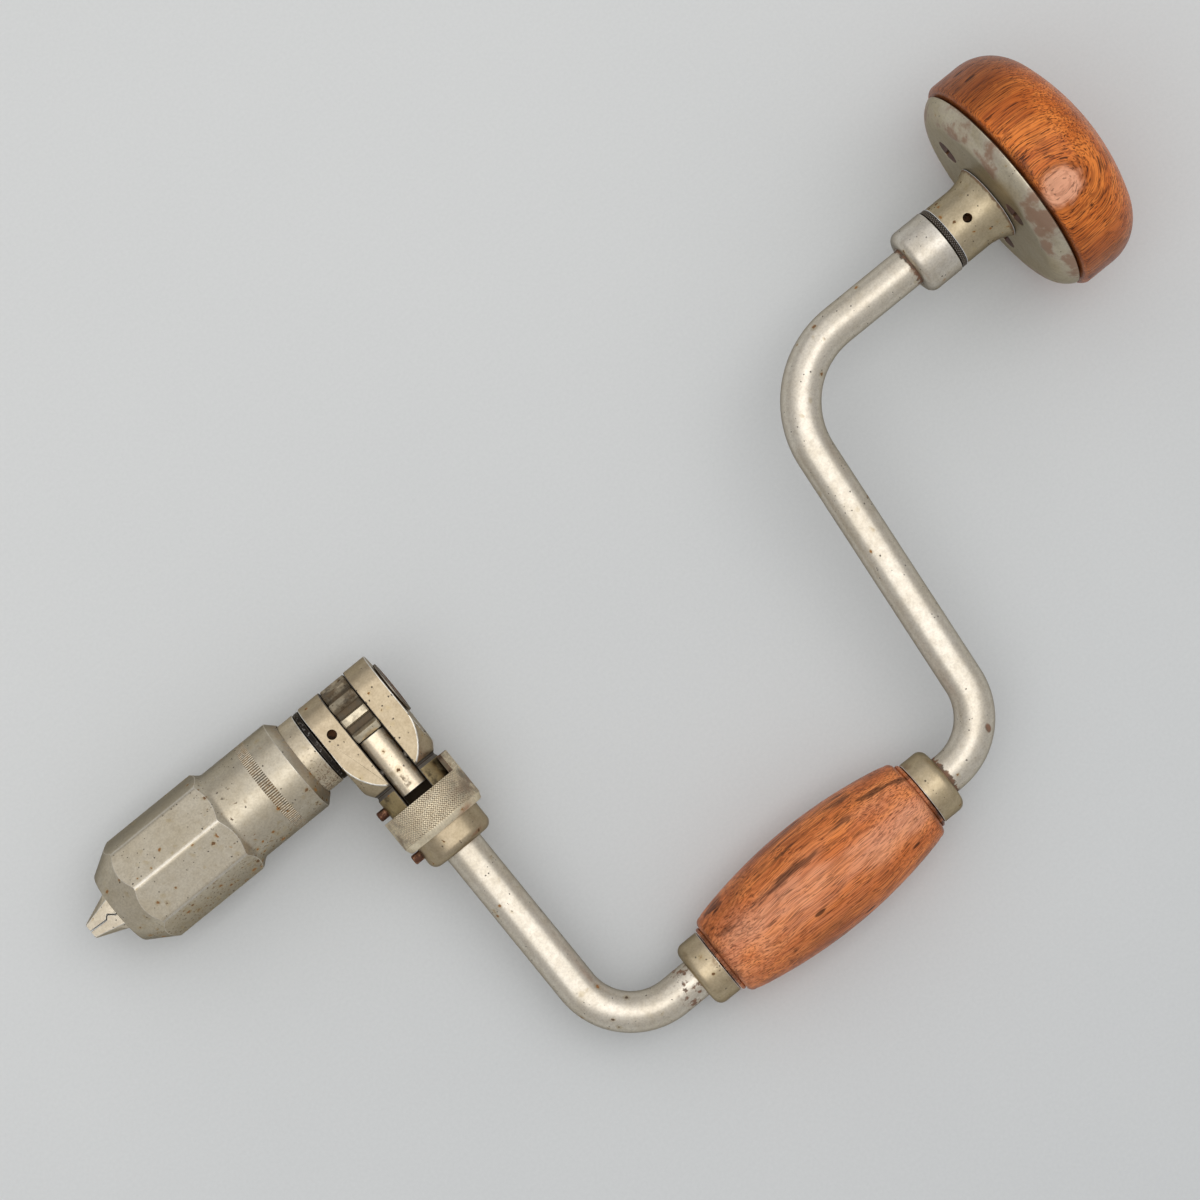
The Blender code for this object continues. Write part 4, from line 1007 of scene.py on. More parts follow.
def edge_of_head_collar(spot):
    mouth = ramp(spot.from_spindle, ROD_RADIUS + 0.0012, ROD_RADIUS + 0.0002)
    return mouth * patches(spot.place, 900.0, 4.0, 0.35, 0.55)


# painted shade: the collar darkens from its top down to its low side
HEAD_TONE = shaded_low_sides((0.80, 0.75, 0.67), 0.0090, -0.0010)
HEAD_NICKEL = nickel("head_collar_nickel", HEAD_TONE, 0.30, 0.10, 0.25, edge_of_head_collar)
race = COLLAR_END - RACE_DEPTH
profile = [
    (COLLAR_START, ROD_HOLE, 0.0),
    (COLLAR_START, COLLAR_RADIUS, COLLAR_ROUND),
    (COLLAR_END, COLLAR_RADIUS, 0.0),
    (COLLAR_END, RACE_OUTER, 0.0),
    (race, RACE_OUTER, 0.0),
    (race, ROD_HOLE, 0.0),
]
collar = blank("head_bearing_collar", lathe(rounded(profile)), ALONG_SPINDLE)
settle(finished(collar, HEAD_NICKEL, BRIGHT_EDGE), "head_collar")

# %% The dust ring and the balls
DUST_START, DUST_END, DUST_INNER, DUST_OUTER = turned_size("head_dust_ring", ALONG_SPINDLE)
DUST_RIDGES = 72
DUST_ROWS = 12
DUST_DEPTH = 0.00028
BALLS = [f"head_ball_{number:02d}" for number in range(1, 11)]


def dust_in_knurl(spot):
    return ramp(spot.from_spindle, DUST_OUTER - 0.3 * DUST_DEPTH, DUST_OUTER - 0.8 * DUST_DEPTH)


DUST_STEEL = nickel("knurled_black", (0.23, 0.21, 0.19), 0.10, 0.10, 0.30, dust_in_knurl, stain=GRIME_AND_SHADE)
ring = knurl_blank("knurled_dust_ring", DUST_START, DUST_END, DUST_INNER, DUST_OUTER, DUST_ROWS, DUST_RIDGES)
pattern = (DUST_RIDGES, 900.0, DUST_DEPTH, 0.35)
outside = (DUST_INNER + DUST_OUTER) / 2
ring = knurled(ring, ALONG_SPINDLE, DUST_STEEL, pattern, DUST_START, DUST_END, outside)
settle(ring, "head_dust_ring")

first, last, _, out = turned_size(BALLS[0], ALONG_SPINDLE)
ball_radius = (last - first) / 2
shape = bmesh.new()
bmesh.ops.create_icosphere(shape, subdivisions=3, radius=ball_radius)
balls = blank("thrust_balls", shape)
balls = on_circle(balls, BRIGHT_STEEL, len(BALLS), out - ball_radius, 0.0, (first + last) / 2)
settle(balls, *BALLS)

# %% [markdown]
# ## The neck, the plate and the screws
#
# The neck flares towards a dished steel plate, which three countersunk screws hold to the wooden knob.
# An oil hole is drilled in the neck over the bearing. The plate has lost its nickel in coppery patches
# near the rim, each with a pale border, so its mask is a noise that is cut twice: a wide cut for the
# border and a narrow one for the bare metal inside it.

# %% The neck
NECK_RADIUS = 0.0104
NECK_FLARE = 0.0128
FLARE_STEPS = 16
SPIGOT_RADIUS = 0.0085
LIP_LENGTH = 0.0012
OIL_HOLE_RADIUS = 0.0015
OIL_HOLE_FROM_FRONT = 0.0070
NECK_EASE = 0.00018
NECK_START, LIP_END, NECK_HOLE, _ = turned_size("head_neck", ALONG_SPINDLE)
PLATE_START, PLATE_RIM_X, PLATE_HOLE, PLATE_RADIUS = turned_size("head_plate", ALONG_SPINDLE)
NECK_END = PLATE_START - 0.0003


def rust_at_plate_and_hole_shade(spot):
    """A rusty line where the neck meets the plate, broken here and there, and painted shade with oil in the hole.
    """
    along = spot.along + ragged(spot.place, 800.0, 4.0, 0.0016)
    line = band(along, NECK_END - 0.0005, LIP_END, 0.0006)
    inside = ramp(spot.from_spindle, NECK_RADIUS - 0.0002, NECK_RADIUS - 0.0006)
    return most(line * 0.75, inside)


# painted shade: the neck darkens from its top down to its low side
NECK_TONE = shaded_low_sides((0.55, 0.46, 0.315), 0.0090, -0.0010)
NECK_NICKEL = nickel("neck_nickel", NECK_TONE, 0.40, 0.40, 0.25, rust_at_plate_and_hole_shade)
race = NECK_START + RACE_DEPTH
profile = [(race, NECK_HOLE), (race, RACE_OUTER), (NECK_START, RACE_OUTER), (NECK_START, NECK_RADIUS)]
flare_start = (NECK_START + NECK_END) / 2
for share in evenly(0.0, 1.0, FLARE_STEPS):
    along = flare_start + (NECK_END - flare_start) * share
    profile.append((along, NECK_RADIUS + (NECK_FLARE - NECK_RADIUS) * share**2))
lip_start = LIP_END - LIP_LENGTH
lip_radius = SPIGOT_RADIUS + 0.0020
profile += [(NECK_END, SPIGOT_RADIUS), (lip_start, SPIGOT_RADIUS), (lip_start, lip_radius)]
profile += [(LIP_END, lip_radius), (LIP_END, NECK_HOLE)]
neck = blank("flared_neck", lathe(profile), ALONG_SPINDLE)
over_bearing = Matrix.Translation((NECK_START + OIL_HOLE_FROM_FRONT, 0.0, 0.0))
drill = blank("oil_drill", rod(OIL_HOLE_RADIUS, NECK_HOLE, 2 * NECK_RADIUS), over_bearing)
settle(finished(neck, NECK_NICKEL, NECK_NICKEL, NECK_EASE, [drill]), "head_neck")

# %% The dished plate
PLATE_THICKNESS = 0.0015
PLATE_FLAT = 0.0275
PLATE_CURVE = 0.0095
PLATE_EASE = 0.00020
SCREW_CIRCLE = 0.0198
SCREW_FIRST_DEG = -5.0
SCREW_COUNT = 3
SCREW_HEAD = 0.0041
SCREW_SHANK = 0.0019
SCREW_LENGTH = 0.0160
SCREW_CONE = 0.0022
SCREW_SLOT = 0.0009
SCREW_GAP = 0.0001
PLATE_TONE = (0.63, 0.565, 0.44)
PLATE_BORDER = (0.60, 0.54, 0.45)
PLATE_BARE = (0.27, 0.130, 0.075)


def plate_curve(inset, steps=20):
    """The plate's outer face, moved in by an inset, from its flat out to the rim."""
    radius = PLATE_CURVE - inset
    points = []
    for turn in evenly(0.0, math.asin((PLATE_RADIUS - PLATE_FLAT) / PLATE_CURVE), steps):
        along = PLATE_START + PLATE_CURVE - radius * math.cos(turn)
        points.append((along, PLATE_FLAT + radius * math.sin(turn)))
    return points


def screw_shape(gap):
    """A countersunk screw from its flat head, with a gap all round for its hole."""
    shank = SCREW_SHANK + gap
    profile = [(-gap, 0.0), (-gap, SCREW_HEAD + gap), (SCREW_CONE, shank)]
    profile += [(SCREW_LENGTH - SCREW_CONE, shank), (SCREW_LENGTH + gap, 0.0)]
    return lathe(profile, COARSE, ring=False)


def drill_for_screws(thing):
    for turn in evenly(SCREW_FIRST_DEG, SCREW_FIRST_DEG + 360, SCREW_COUNT)[:-1]:
        spot = Matrix.Translation((*polar(SCREW_CIRCLE, turn), PLATE_START + SCREW_GAP))
        carve(thing, blank("screw_drill", screw_shape(SCREW_GAP), ALONG_SPINDLE @ spot))
    return thing


def bare_patches(spot):
    """Where the plate has lost its nickel, mostly near the rim: border and middle of each patch."""
    rim = ramp(spot.from_spindle, 0.0215, 0.0315)
    lost = rim * 0.34 + cloud(spot.place, 75.0, 5.0, 0.6)
    return ramp(lost, 0.78, 0.84), ramp(lost, 0.82, 0.92)


def dirt_round_screws(spot):
    """The countersinks in the flat of the plate are dark."""
    sunk = ramp(spot.along, PLATE_START + 0.0001, PLATE_START + 0.0003)
    return sunk * ramp(spot.from_spindle, PLATE_FLAT - 0.0010, PLATE_FLAT - 0.0020)


def make_plate_nickel():
    """Worn nickel with pale-bordered coppery patches mixed in before the shader."""
    material = nickel("plate_nickel", PLATE_TONE, 0.45, 0.14, 0.20, dirt_round_screws)
    shader = material.node_tree.nodes["Principled BSDF"].inputs
    worn = Wire(shader["Base Color"].links[0].from_socket)
    metal = Wire(shader["Metallic"].links[0].from_socket)
    border, bare = bare_patches(use(material.node_tree, PLACE))
    colour = mixed(border * 0.42, worn, PLATE_BORDER)
    plug(shader["Base Color"], mixed(bare * 0.75, colour, PLATE_BARE))
    plug(shader["Metallic"], metal * (bare * -0.4 + 1.0))
    return material


PLATE_NICKEL = make_plate_nickel()
outer = [(PLATE_START, PLATE_HOLE)] + plate_curve(0.0)
inner = plate_curve(PLATE_THICKNESS)[::-1] + [(PLATE_START + PLATE_THICKNESS, PLATE_HOLE)]
plate = drill_for_screws(blank("dished_plate", lathe(outer + inner, FINE), ALONG_SPINDLE))
settle(finished(tidy_cuts(plate), PLATE_NICKEL, PLATE_NICKEL, PLATE_EASE), "head_plate")

# %% The plate's screws
SCREW_TONE = (0.13, 0.066, 0.054)
SCREW_RUST = (0.115, 0.055, 0.043)
screw_dirt = patchy_dirt(700.0, 0.20, 0.42)
RUSTED_SCREW = nickel("rusted_screw", SCREW_TONE, 0.05, 0.20, 0.30, screw_dirt, 0.9, SCREW_RUST)
screws = blank("plate_screws", screw_shape(0.0))
half, past = SCREW_SLOT / 2, SCREW_HEAD * 2
carve(screws, blank("slot_saw", block((-half, -past, -SCREW_SLOT), (half, past, SCREW_SLOT))))
turn = math.radians(SCREW_FIRST_DEG)
screws = on_circle(screws, RUSTED_SCREW, SCREW_COUNT, SCREW_CIRCLE, turn, PLATE_START + SCREW_GAP)
settle(screws, "head_screw_1", "head_screw_2", "head_screw_3")

# %% [markdown]
# ## The wooden knob
#
# The knob is turned like a fat mushroom: a rounded edge over the plate, a full shoulder and a shallow
# crown. Its fibres run along the spindle, so the visible side shows short dark dashes in that
# direction. A pale, worn patch and a grey scuff lie side by side just behind the plate.

# %% Turn the knob
KNOB_EDGE = 0.0020
KNOB_SHOULDER = 0.0150
KNOB_CROWN = 0.075
KNOB_CAVITY = 0.0125
KNOB_GAP = 0.0003
FACET_GAP = 0.00012
_, KNOB_FULL_END, _, KNOB_FULL = turned_size("head_knob", ALONG_SPINDLE)
KNOB_END = KNOB_FULL_END - FACET_GAP / 2
KNOB_RADIUS = KNOB_FULL - FACET_GAP
PALE_PATCH = (0.2612, -0.0110, 0.0360)
PALE_STRETCH = (0.78, 1.0, 0.6)
GREY_SCUFF = (0.2552, 0.0005, 0.0375)
GREY_STRETCH = (1.5, 0.55, 0.4)
KNOT_BEND = 0.60
KNOT_SOFT = 0.008


def near_point(spot, point, stretch, inner, outer):
    """A ragged-edged mask round a point of the brace."""
    apart = scaled(vectors("SUBTRACT", spot.place, point), stretch)
    length = vectors("LENGTH", apart, output="Value")
    return ramp(length + ragged(spot.place, 260.0, 4.0, 0.004), outer, inner)


def knob_scuff(spot):
    return near_point(spot, PALE_PATCH, PALE_STRETCH, 0.0040, 0.0068)


def knob_dirt_and_shade(spot):
    """Dark wood at the plate's edge, painted shade on both flanks, a grey scuff, and a rim round the pale patch.
    """
    edge = ramp(spot.along, PLATE_RIM_X + 0.0016, PLATE_RIM_X)
    scuff = near_point(spot, GREY_SCUFF, GREY_STRETCH, 0.0020, 0.0045)
    rim = near_point(spot, PALE_PATCH, PALE_STRETCH, 0.0062, 0.0074) * (1.0 - knob_scuff(spot))
    # painted shade: darker towards both flanks of the knob
    flanks = ramp(abs(spot.across + 0.004), 0.0200, 0.0370)
    patchy = patches(spot.place, 110.0, 4.0, 0.50, 0.74)
    return most(edge * 0.8, scuff * 0.55, rim * 0.35, flanks * 0.58, patchy * 0.25)


def knob_figure(spot):
    """Fibres that run along the spindle but sweep round a knot at the pale patch."""
    knot_along, knot_across, _ = PALE_PATCH
    ahead = (spot.along - knot_along) * KNOT_BEND
    aside = spot.across - knot_across
    return joined(spot.along, root(ahead * ahead + (aside * aside + KNOT_SOFT**2)), spot.up)


def knob_profile():
    crown_centre = KNOB_END - KNOB_CROWN
    shoulder = KNOB_RADIUS - KNOB_SHOULDER
    shoulder_x = crown_centre + math.sqrt((KNOB_CROWN - KNOB_SHOULDER) ** 2 - shoulder**2)
    blend = math.degrees(math.atan2(shoulder, shoulder_x - crown_centre))
    seat = PLATE_START + PLATE_THICKNESS + KNOB_GAP
    cavity_end = CRANK_END + 2 * KNOB_GAP
    back = plate_curve(PLATE_THICKNESS + KNOB_GAP)
    rim = back[-1][0] + KNOB_GAP
    profile = [(cavity_end, 0.0), (cavity_end, KNOB_CAVITY), (seat, KNOB_CAVITY)] + back
    profile += arc((rim + KNOB_EDGE, KNOB_RADIUS - KNOB_EDGE), KNOB_EDGE, 180, 90, 6)
    profile += arc((shoulder_x, shoulder), KNOB_SHOULDER, 90, blend, 32)
    profile += arc((crown_centre, 0.0), KNOB_CROWN, blend, 0, 24)[1:-1]
    return profile + [(KNOB_END, 0.0)]


KNOB_WOOD = varnished("knob_wood", 0.80, knob_scuff, knob_dirt_and_shade, knob_figure)
knob = blank("turned_knob", lathe(knob_profile(), FINE, ring=False), ALONG_SPINDLE)
settle(finished(drill_for_screws(knob), KNOB_WOOD), "head_knob")

# %% [markdown]
# ## The ratchet box
#
# The box is forged: a block with flat faces, rounded over the spindle, and turned to a dome where it
# runs into the round shank. The dome leaves an arched border on each flat. A deep slot holds the wheel
# and the pawls. It is made as a smith and a miller would make it, by adding and cutting solids, and
# then every edge is eased. The slot's walls are painted black: painted shade, with old oil.

# %% Sizes of the box
BOX_HALF_WIDTH = 0.0130
BOX_HALF_HEIGHT = 0.0104
BOX_ROUND = 0.01275
BOX_EASE = 0.0080
BOX_LENGTH = 0.0232
DOME_CURVE = 0.0263
DOME_START = 0.0070
BOX_GROOVE = 0.0009
SHANK_RADIUS = 0.0114
SHANK_END = 0.0514
SLOT_HALF_WIDTH = 0.0048
SLOT_END = 0.0320
WEB_START = 0.0270
WEB_HALF_HEIGHT = 0.0012
SPINDLE_JOURNAL = 0.0070
BOX_OIL_HOLE_X = -0.0089
BOX_EDGE_EASE = 0.00030
PAWL_PIVOT = 0.0185
PAWL_AXIS_UP = 0.0075
PAWL_PIN_RADIUS = 0.0015
STOP_PIN_RADIUS = 0.0016
FIT = 0.0001


# %% Forge, turn and mill the box
def box_block():
    """A block that is rounded over the spindle and runs smoothly into two flats."""
    up = BOX_HALF_HEIGHT - BOX_EASE
    across = math.sqrt((BOX_ROUND - BOX_EASE) ** 2 - up**2)
    turn = math.degrees(math.atan2(up, across))
    upper = arc((0.0, 0.0), BOX_ROUND, 0, turn, 20)[:-1] + arc((across, up), BOX_EASE, turn, 90, 12)
    upper.append((-BOX_LENGTH - FIT, BOX_HALF_HEIGHT))
    lower = [(a, -b) for a, b in reversed(upper[1:])]
    return prism(lower + upper, -BOX_HALF_WIDTH, BOX_HALF_WIDTH)


def dome(steps=24):
    corner = math.hypot(BOX_HALF_WIDTH, BOX_HALF_HEIGHT)
    past_end = -2 * BOX_ROUND
    profile = [(past_end, 0.0), (past_end, 2 * corner), (DOME_START / 2, 2 * corner)]
    for turn in evenly(0.0, math.asin((BOX_LENGTH - DOME_START) / DOME_CURVE), steps):
        out = corner + FIT - DOME_CURVE * (1 - math.cos(turn))
        profile.append((DOME_START + DOME_CURVE * math.sin(turn), out))
    return lathe(profile + [(BOX_LENGTH, 0.0)], FINE, ring=False)


def shank():
    neck = SHANK_RADIUS - BOX_GROOVE / 2
    start = BOX_LENGTH + BOX_GROOVE
    inside = BOX_HALF_HEIGHT / 2
    corners = [
        (BOX_LENGTH / 2, 0.0, 0.0),
        (BOX_LENGTH / 2, inside, 0.0),
        (BOX_LENGTH - FIT, inside, 0.0),
        (BOX_LENGTH - FIT, neck, 0.0),
        (start, neck, 0.0),
        (start + BOX_GROOVE / 2, SHANK_RADIUS, 0.0),
        (SHANK_END, SHANK_RADIUS, COLLAR_ROUND),
        (SHANK_END, 0.0, 0.0),
    ]
    return lathe(rounded(corners, 10), FINE, ring=False)


def box_cutters():
    """The slot, which a web closes behind the pawls' spring, and the bores for spindle and rod."""
    past = 2 * BOX_HALF_WIDTH
    tall = BOX_ROUND + SHANK_RADIUS
    wide = SLOT_HALF_WIDTH
    yield block((-wide, -WEB_START, -tall), (wide, tall, tall)), ALONG_BRACE
    yield block((-wide, -SLOT_END, WEB_HALF_HEIGHT), (wide, 0.0, tall)), ALONG_BRACE
    yield block((-wide, -SLOT_END, -tall), (wide, 0.0, -WEB_HALF_HEIGHT)), ALONG_BRACE
    yield rod(SPINDLE_JOURNAL + FIT, -past, past, ROUND), ALONG_SPINDLE
    yield rod(ROD_RADIUS + FIT / 2, ROD_SOCKET - 3 * FIT, 2 * SHANK_END, ROD_SIDES), ALONG_ARM


box = blank("slotted_box", box_block(), ALONG_SPINDLE)
carve(box, blank("dome", dome(), ALONG_ARM), "INTERSECT")
carve(box, blank("shank", shank(), ALONG_ARM), "UNION")
for shape, axis in box_cutters():
    carve(box, blank("cutter", shape, axis))
print("box:", len(box.data.polygons), "faces before its edges are eased")

# %% Finish the box
SLOT_DIRT_AND_SHADE = (0.034, 0.021, 0.011)
WARM_SILVER = (0.50, 0.41, 0.285)
OLIVE_STAIN = (0.42, 0.325, 0.17)


def slot_oil_and_shade(spot):
    """Black painted shade with old oil on the slot's walls and in the oil hole, painted shade with brown grease in
    the groove under the dome, and a stain on the shank.
    """
    down = -spot.across
    walls = ramp(abs(spot.along), SLOT_HALF_WIDTH + 0.00012, SLOT_HALF_WIDTH + 0.00004)
    walls = walls * ramp(down, SLOT_END + 0.0004, SLOT_END + 0.0001)
    aside = spot.along - BOX_OIL_HOLE_X
    from_hole = root(aside * aside + down * down)
    hole = ramp(from_hole, OIL_HOLE_RADIUS + 0.00012, OIL_HOLE_RADIUS + 0.00002)
    groove = band(down, BOX_LENGTH - 0.0002, BOX_LENGTH + BOX_GROOVE, 0.0005)
    on_shank = band(down, BOX_LENGTH, 0.0330, 0.0004)
    stain = patches(spot.place, 260.0, 5.0, 0.48, 0.68)
    return most(most(walls, hole) * 0.95, groove, on_shank * stain * 0.80)


def olive_shank(spot):
    """The flats are a warm silver; the shank under the dome has an olive stain of old oil."""
    return mixed(band(-spot.across, BOX_LENGTH, 0.0340, 0.0008), WARM_SILVER, OLIVE_STAIN)


def dirt_on_low_edges(spot):
    """The edges of the slot, the holes and the groove are dirty; the box's other edges are bright."""
    slot = ramp(abs(spot.along), SLOT_HALF_WIDTH + 0.0012, SLOT_HALF_WIDTH + 0.0006)
    low = ramp(-spot.across, BOX_LENGTH - 0.0006, BOX_LENGTH - 0.0002)
    return most(slot, low) * 0.88


BOX_EDGE = nickel("box_edge", RUBBED_TONE, 0.10, 0.04, 0.04, dirt_on_low_edges, stain=SLOT_DIRT_AND_SHADE)
BOX_NICKEL = nickel("box_nickel", olive_shank, 0.25, 0.30, 0.25, slot_oil_and_shade, stain=SLOT_DIRT_AND_SHADE)
over_spindle = Matrix.Translation((BOX_OIL_HOLE_X, 0.0, 0.0))
drill = blank("oil_drill", rod(OIL_HOLE_RADIUS, SPINDLE_JOURNAL / 2, 2 * BOX_HALF_HEIGHT), over_spindle)
settle(finished(tidy_cuts(box), BOX_NICKEL, BOX_EDGE, BOX_EDGE_EASE, [drill]), "ratchet_box")

# %% Pins of the box
# The pivot pins take the dark steel, painted dark so that they show as shade in the slot.
for name, node, look, radius in (
    ("stop_pin_above", "selector_pin_upper", COPPERY, STOP_PIN_RADIUS),
    ("stop_pin_below", "selector_pin_lower", COPPERY, STOP_PIN_RADIUS),
    ("pivot_pin_above", "pawl_pin_upper", DARK_STEEL, PAWL_PIN_RADIUS),
    ("pivot_pin_below", "pawl_pin_lower", DARK_STEEL, PAWL_PIN_RADIUS),
):
    low, high = reach(node)
    middle = (low + high) / 2
    ease = radius / 5
    start, end = low.x, high.x
    profile = [(start, 0.0), (start, radius - ease), (start + ease, radius)]
    profile += [(end - ease, radius), (end, radius - ease), (end, 0.0)]
    spot = Matrix.Translation((0.0, middle.y, middle.z)) @ ALONG_SPINDLE
    settle(finished(blank(name, lathe(profile, COARSE, ring=False), spot), look), node)

# %% [markdown]
# ## The selector ring
#
# Turning this knurled ring lifts one pawl or the other. A hood stands up from it on one side and hides
# the pawl's tail when it is brought round. The lathe gives the ring a plain bevel at the bottom, a
# mill takes away all but the hood at the top, and the knurl tree cuts diamonds over the rest.

# %% Turn, mill and knurl the ring
HOOD_TOP, RING_BOTTOM, RING_HOLE, RING_RADIUS = turned_size("selector_ring", ALONG_ARM)
RING_TOP = 0.0312
RING_BEVEL = 0.0022
HOOD_WALL = 0.0018
HOOD_HALF_DEG = 29.0
RING_STEP = 0.0003
KNURL_END = RING_BOTTOM - RING_BEVEL
KNURL_RIDGES = 100
KNURL_DEPTH = 0.00026
KNURL_ROW = 0.00017
RING_TONE = (1.0, 0.88, 0.66)
RING_RUST_AND_SHADE = (0.115, 0.052, 0.030)


def stained_knurl_and_shade(spot):
    """Dirt in the knurl's valleys, broad red-brown stains over it, and painted shade on the faces inside the
    ring's skin.
    """
    valley = ramp(spot.from_arm, RING_RADIUS - 0.2 * KNURL_DEPTH, RING_RADIUS - 0.8 * KNURL_DEPTH)
    stain = patches(spot.place, 150.0, 5.0, 0.42, 0.64, 0.6)
    flank = ramp(abs(spot.along), 0.0060, 0.0130)
    held = most(valley * (stain * 0.20 + 0.80), stain * (flank * 0.50 + 0.20))
    # painted shade on the faces that lie inside the ring's outer skin
    cut = (1.0 - ramp(spot.from_arm, 0.0125, 0.0130)) * 0.9
    return most(held, cut) * ramp(-spot.across, KNURL_END + 0.0004, KNURL_END)


RING_NICKEL = nickel("ring_nickel", RING_TONE, 0.18, 0.15, 0.10, stained_knurl_and_shade, stain=RING_RUST_AND_SHADE)
hood_inner = RING_RADIUS - HOOD_WALL
rows = round((KNURL_END - HOOD_TOP) / KNURL_ROW)
profile = [(HOOD_TOP, hood_inner), (HOOD_TOP, RING_RADIUS - RING_STEP)]
profile += [(along, RING_RADIUS) for along in evenly(HOOD_TOP + RING_STEP, KNURL_END, rows)]
profile += [(RING_BOTTOM - RING_STEP, RING_RADIUS - RING_BEVEL / 3)]
profile += [(RING_BOTTOM, RING_RADIUS - RING_BEVEL / 2), (RING_BOTTOM, RING_HOLE)]
profile += [(RING_TOP + RING_STEP, RING_HOLE), (RING_TOP + RING_STEP, hood_inner)]
ring = blank("knurled_selector", lathe(profile, KNURL_RIDGES * POINTS_PER_RIDGE))
outline = [(0.0, 0.0), *arc((0.0, 0.0), 2 * RING_RADIUS, HOOD_HALF_DEG, 360 - HOOD_HALF_DEG, 24)]
carve(ring, blank("notch_mill", prism(outline, HOOD_TOP - RING_STEP, RING_TOP)))
pattern = (KNURL_RIDGES, 1150.0, KNURL_DEPTH, 0.64)
outside = RING_RADIUS - KNURL_DEPTH / 2
ring = knurled(ring, ALONG_ARM, RING_NICKEL, pattern, HOOD_TOP, KNURL_END, outside)
settle(ring, "selector_ring")

# %% [markdown]
# ## The pawls and the ratchet wheel
#
# Two round bars lie in the slot, one above and one below the spindle. Each has a nose that drops
# between two teeth of the wheel and holds it one way. The bar is a rod cut by the outline of the pawl.
# A coil spring pushes their tails apart. It is wound in two halves, each from the middle outwards.
# The wheel is a lathe whose rim goes through the tooth tree. Its lands are bright from the pawl, and
# oil has turned dark brown in the valleys.

# %% Cut the pawls
WHEEL_RADIUS = 0.0125
WHEEL_ROOT = 0.0103
WHEEL_TEETH = 12
HALF_LAND_DEG = 5.5
HALF_ROOT_DEG = 5.5
WHEEL_GAP = 0.0003
PAWL_NOSE = 0.0076
PAWL_NOSE_UP = 0.0089
PAWL_BOTTOM = 0.0042
PAWL_TAIL = 0.0283
PAWL_EASE = 0.00022
PAWL_TONE = (0.93, 0.80, 0.61)
PAWL_BROWN_AND_SHADE = (0.15, 0.080, 0.026)


def worn_bar_and_side_shade(spot):
    """Brown painted shade down both sides of the bar, with a ragged edge, and a dark scar near its tail."""
    wavy = ragged(spot.place, 420.0, 5.0, 0.0036)
    aside = abs(spot.along) + wavy
    tail = band(-spot.across + wavy, 0.0232, 0.0262, 0.0008)
    broken = patches(spot.place, 360.0, 3.0, 0.38, 0.60)
    scar = tail * ramp(aside, 0.0016, 0.0008) * broken
    return most(ramp(aside, 0.0028, 0.0044) * 0.90, scar * 0.8)


def pawl_outline():
    """The upper pawl from the side, with a gap to the wheel's teeth."""
    clear = WHEEL_RADIUS + WHEEL_GAP
    top = PAWL_AXIS_UP + SLOT_HALF_WIDTH
    past_tooth = 90 + 2 * 360 / WHEEL_TEETH - HALF_LAND_DEG
    last = 180 - math.degrees(math.asin(PAWL_BOTTOM / clear))
    outline = [(-PAWL_TAIL, top), (-PAWL_NOSE, top), (-PAWL_NOSE, PAWL_NOSE_UP)]
    outline.append((-PAWL_NOSE - 2 * WHEEL_GAP, PAWL_NOSE_UP - WHEEL_GAP))
    return outline + arc((0.0, 0.0), clear, past_tooth, last, 12) + [(-PAWL_TAIL, PAWL_BOTTOM)]


PAWL_NICKEL = nickel("pawl_nickel", PAWL_TONE, 0.20, 0.15, 0.16, worn_bar_and_side_shade, stain=PAWL_BROWN_AND_SHADE)
for name, node, side in (("round_pawl_above", "pawl_upper", 1), ("round_pawl_below", "pawl_lower", -1)):
    outline = [(across, side * up) for across, up in pawl_outline()]
    pawl = blank(name, prism(outline, -SLOT_HALF_WIDTH, SLOT_HALF_WIDTH), ALONG_SPINDLE)
    lift = Matrix.Translation((0.0, 0.0, side * PAWL_AXIS_UP))
    bar = rod(SLOT_HALF_WIDTH - WHEEL_GAP, 0.0, 2 * PAWL_TAIL, ROD_SIDES)
    carve(pawl, blank("bar", bar, lift @ ALONG_ARM), "INTERSECT")
    pivot = Matrix.Translation((0.0, -PAWL_PIVOT, side * PAWL_AXIS_UP))
    drill = rod(PAWL_PIN_RADIUS + WHEEL_GAP, -2 * SLOT_HALF_WIDTH, 2 * SLOT_HALF_WIDTH)
    carve(pawl, blank("drill", drill, pivot @ ALONG_SPINDLE))
    settle(finished(tidy_cuts(pawl), PAWL_NICKEL, BRIGHT_EDGE, PAWL_EASE), node)

# %% Wind the pawls' spring
SPRING_WIRE = 0.0004
WIRE_SIDES = 8
HALF_TURNS = 2
STEPS_PER_TURN = 16


def half_coil(radius, height):
    """Half of a coil spring, from the middle up."""
    count = HALF_TURNS * STEPS_PER_TURN
    wire = [polar(SPRING_WIRE, 360 * side / WIRE_SIDES) for side in range(WIRE_SIDES)]
    sections = []
    for step in range(count + 1):
        spoke = Vector((*polar(1.0, 360 * step / STEPS_PER_TURN), 0.0))
        rise = height * step / count
        sections.append([spoke * (radius + out) + Vector((0.0, 0.0, rise + up)) for out, up in wire])
    return loft(sections)


low, high = reach("pawl_spring")
middle = (low + high) / 2
for name, joint, turn in (
    ("spring_half_above", "upper_pawl_lift", 0),
    ("spring_half_below", "lower_pawl_lift", 180),
):
    spot = Matrix.Translation(middle) @ Matrix.Rotation(math.radians(turn), 4, "X")
    coil = half_coil((high.x - low.x) / 2 - SPRING_WIRE, (high.z - low.z) / 2 - SPRING_WIRE)
    half = finished(blank(name, coil, spot), BRIGHT_STEEL)
    settle(half, "pawl_spring")
    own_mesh(half)

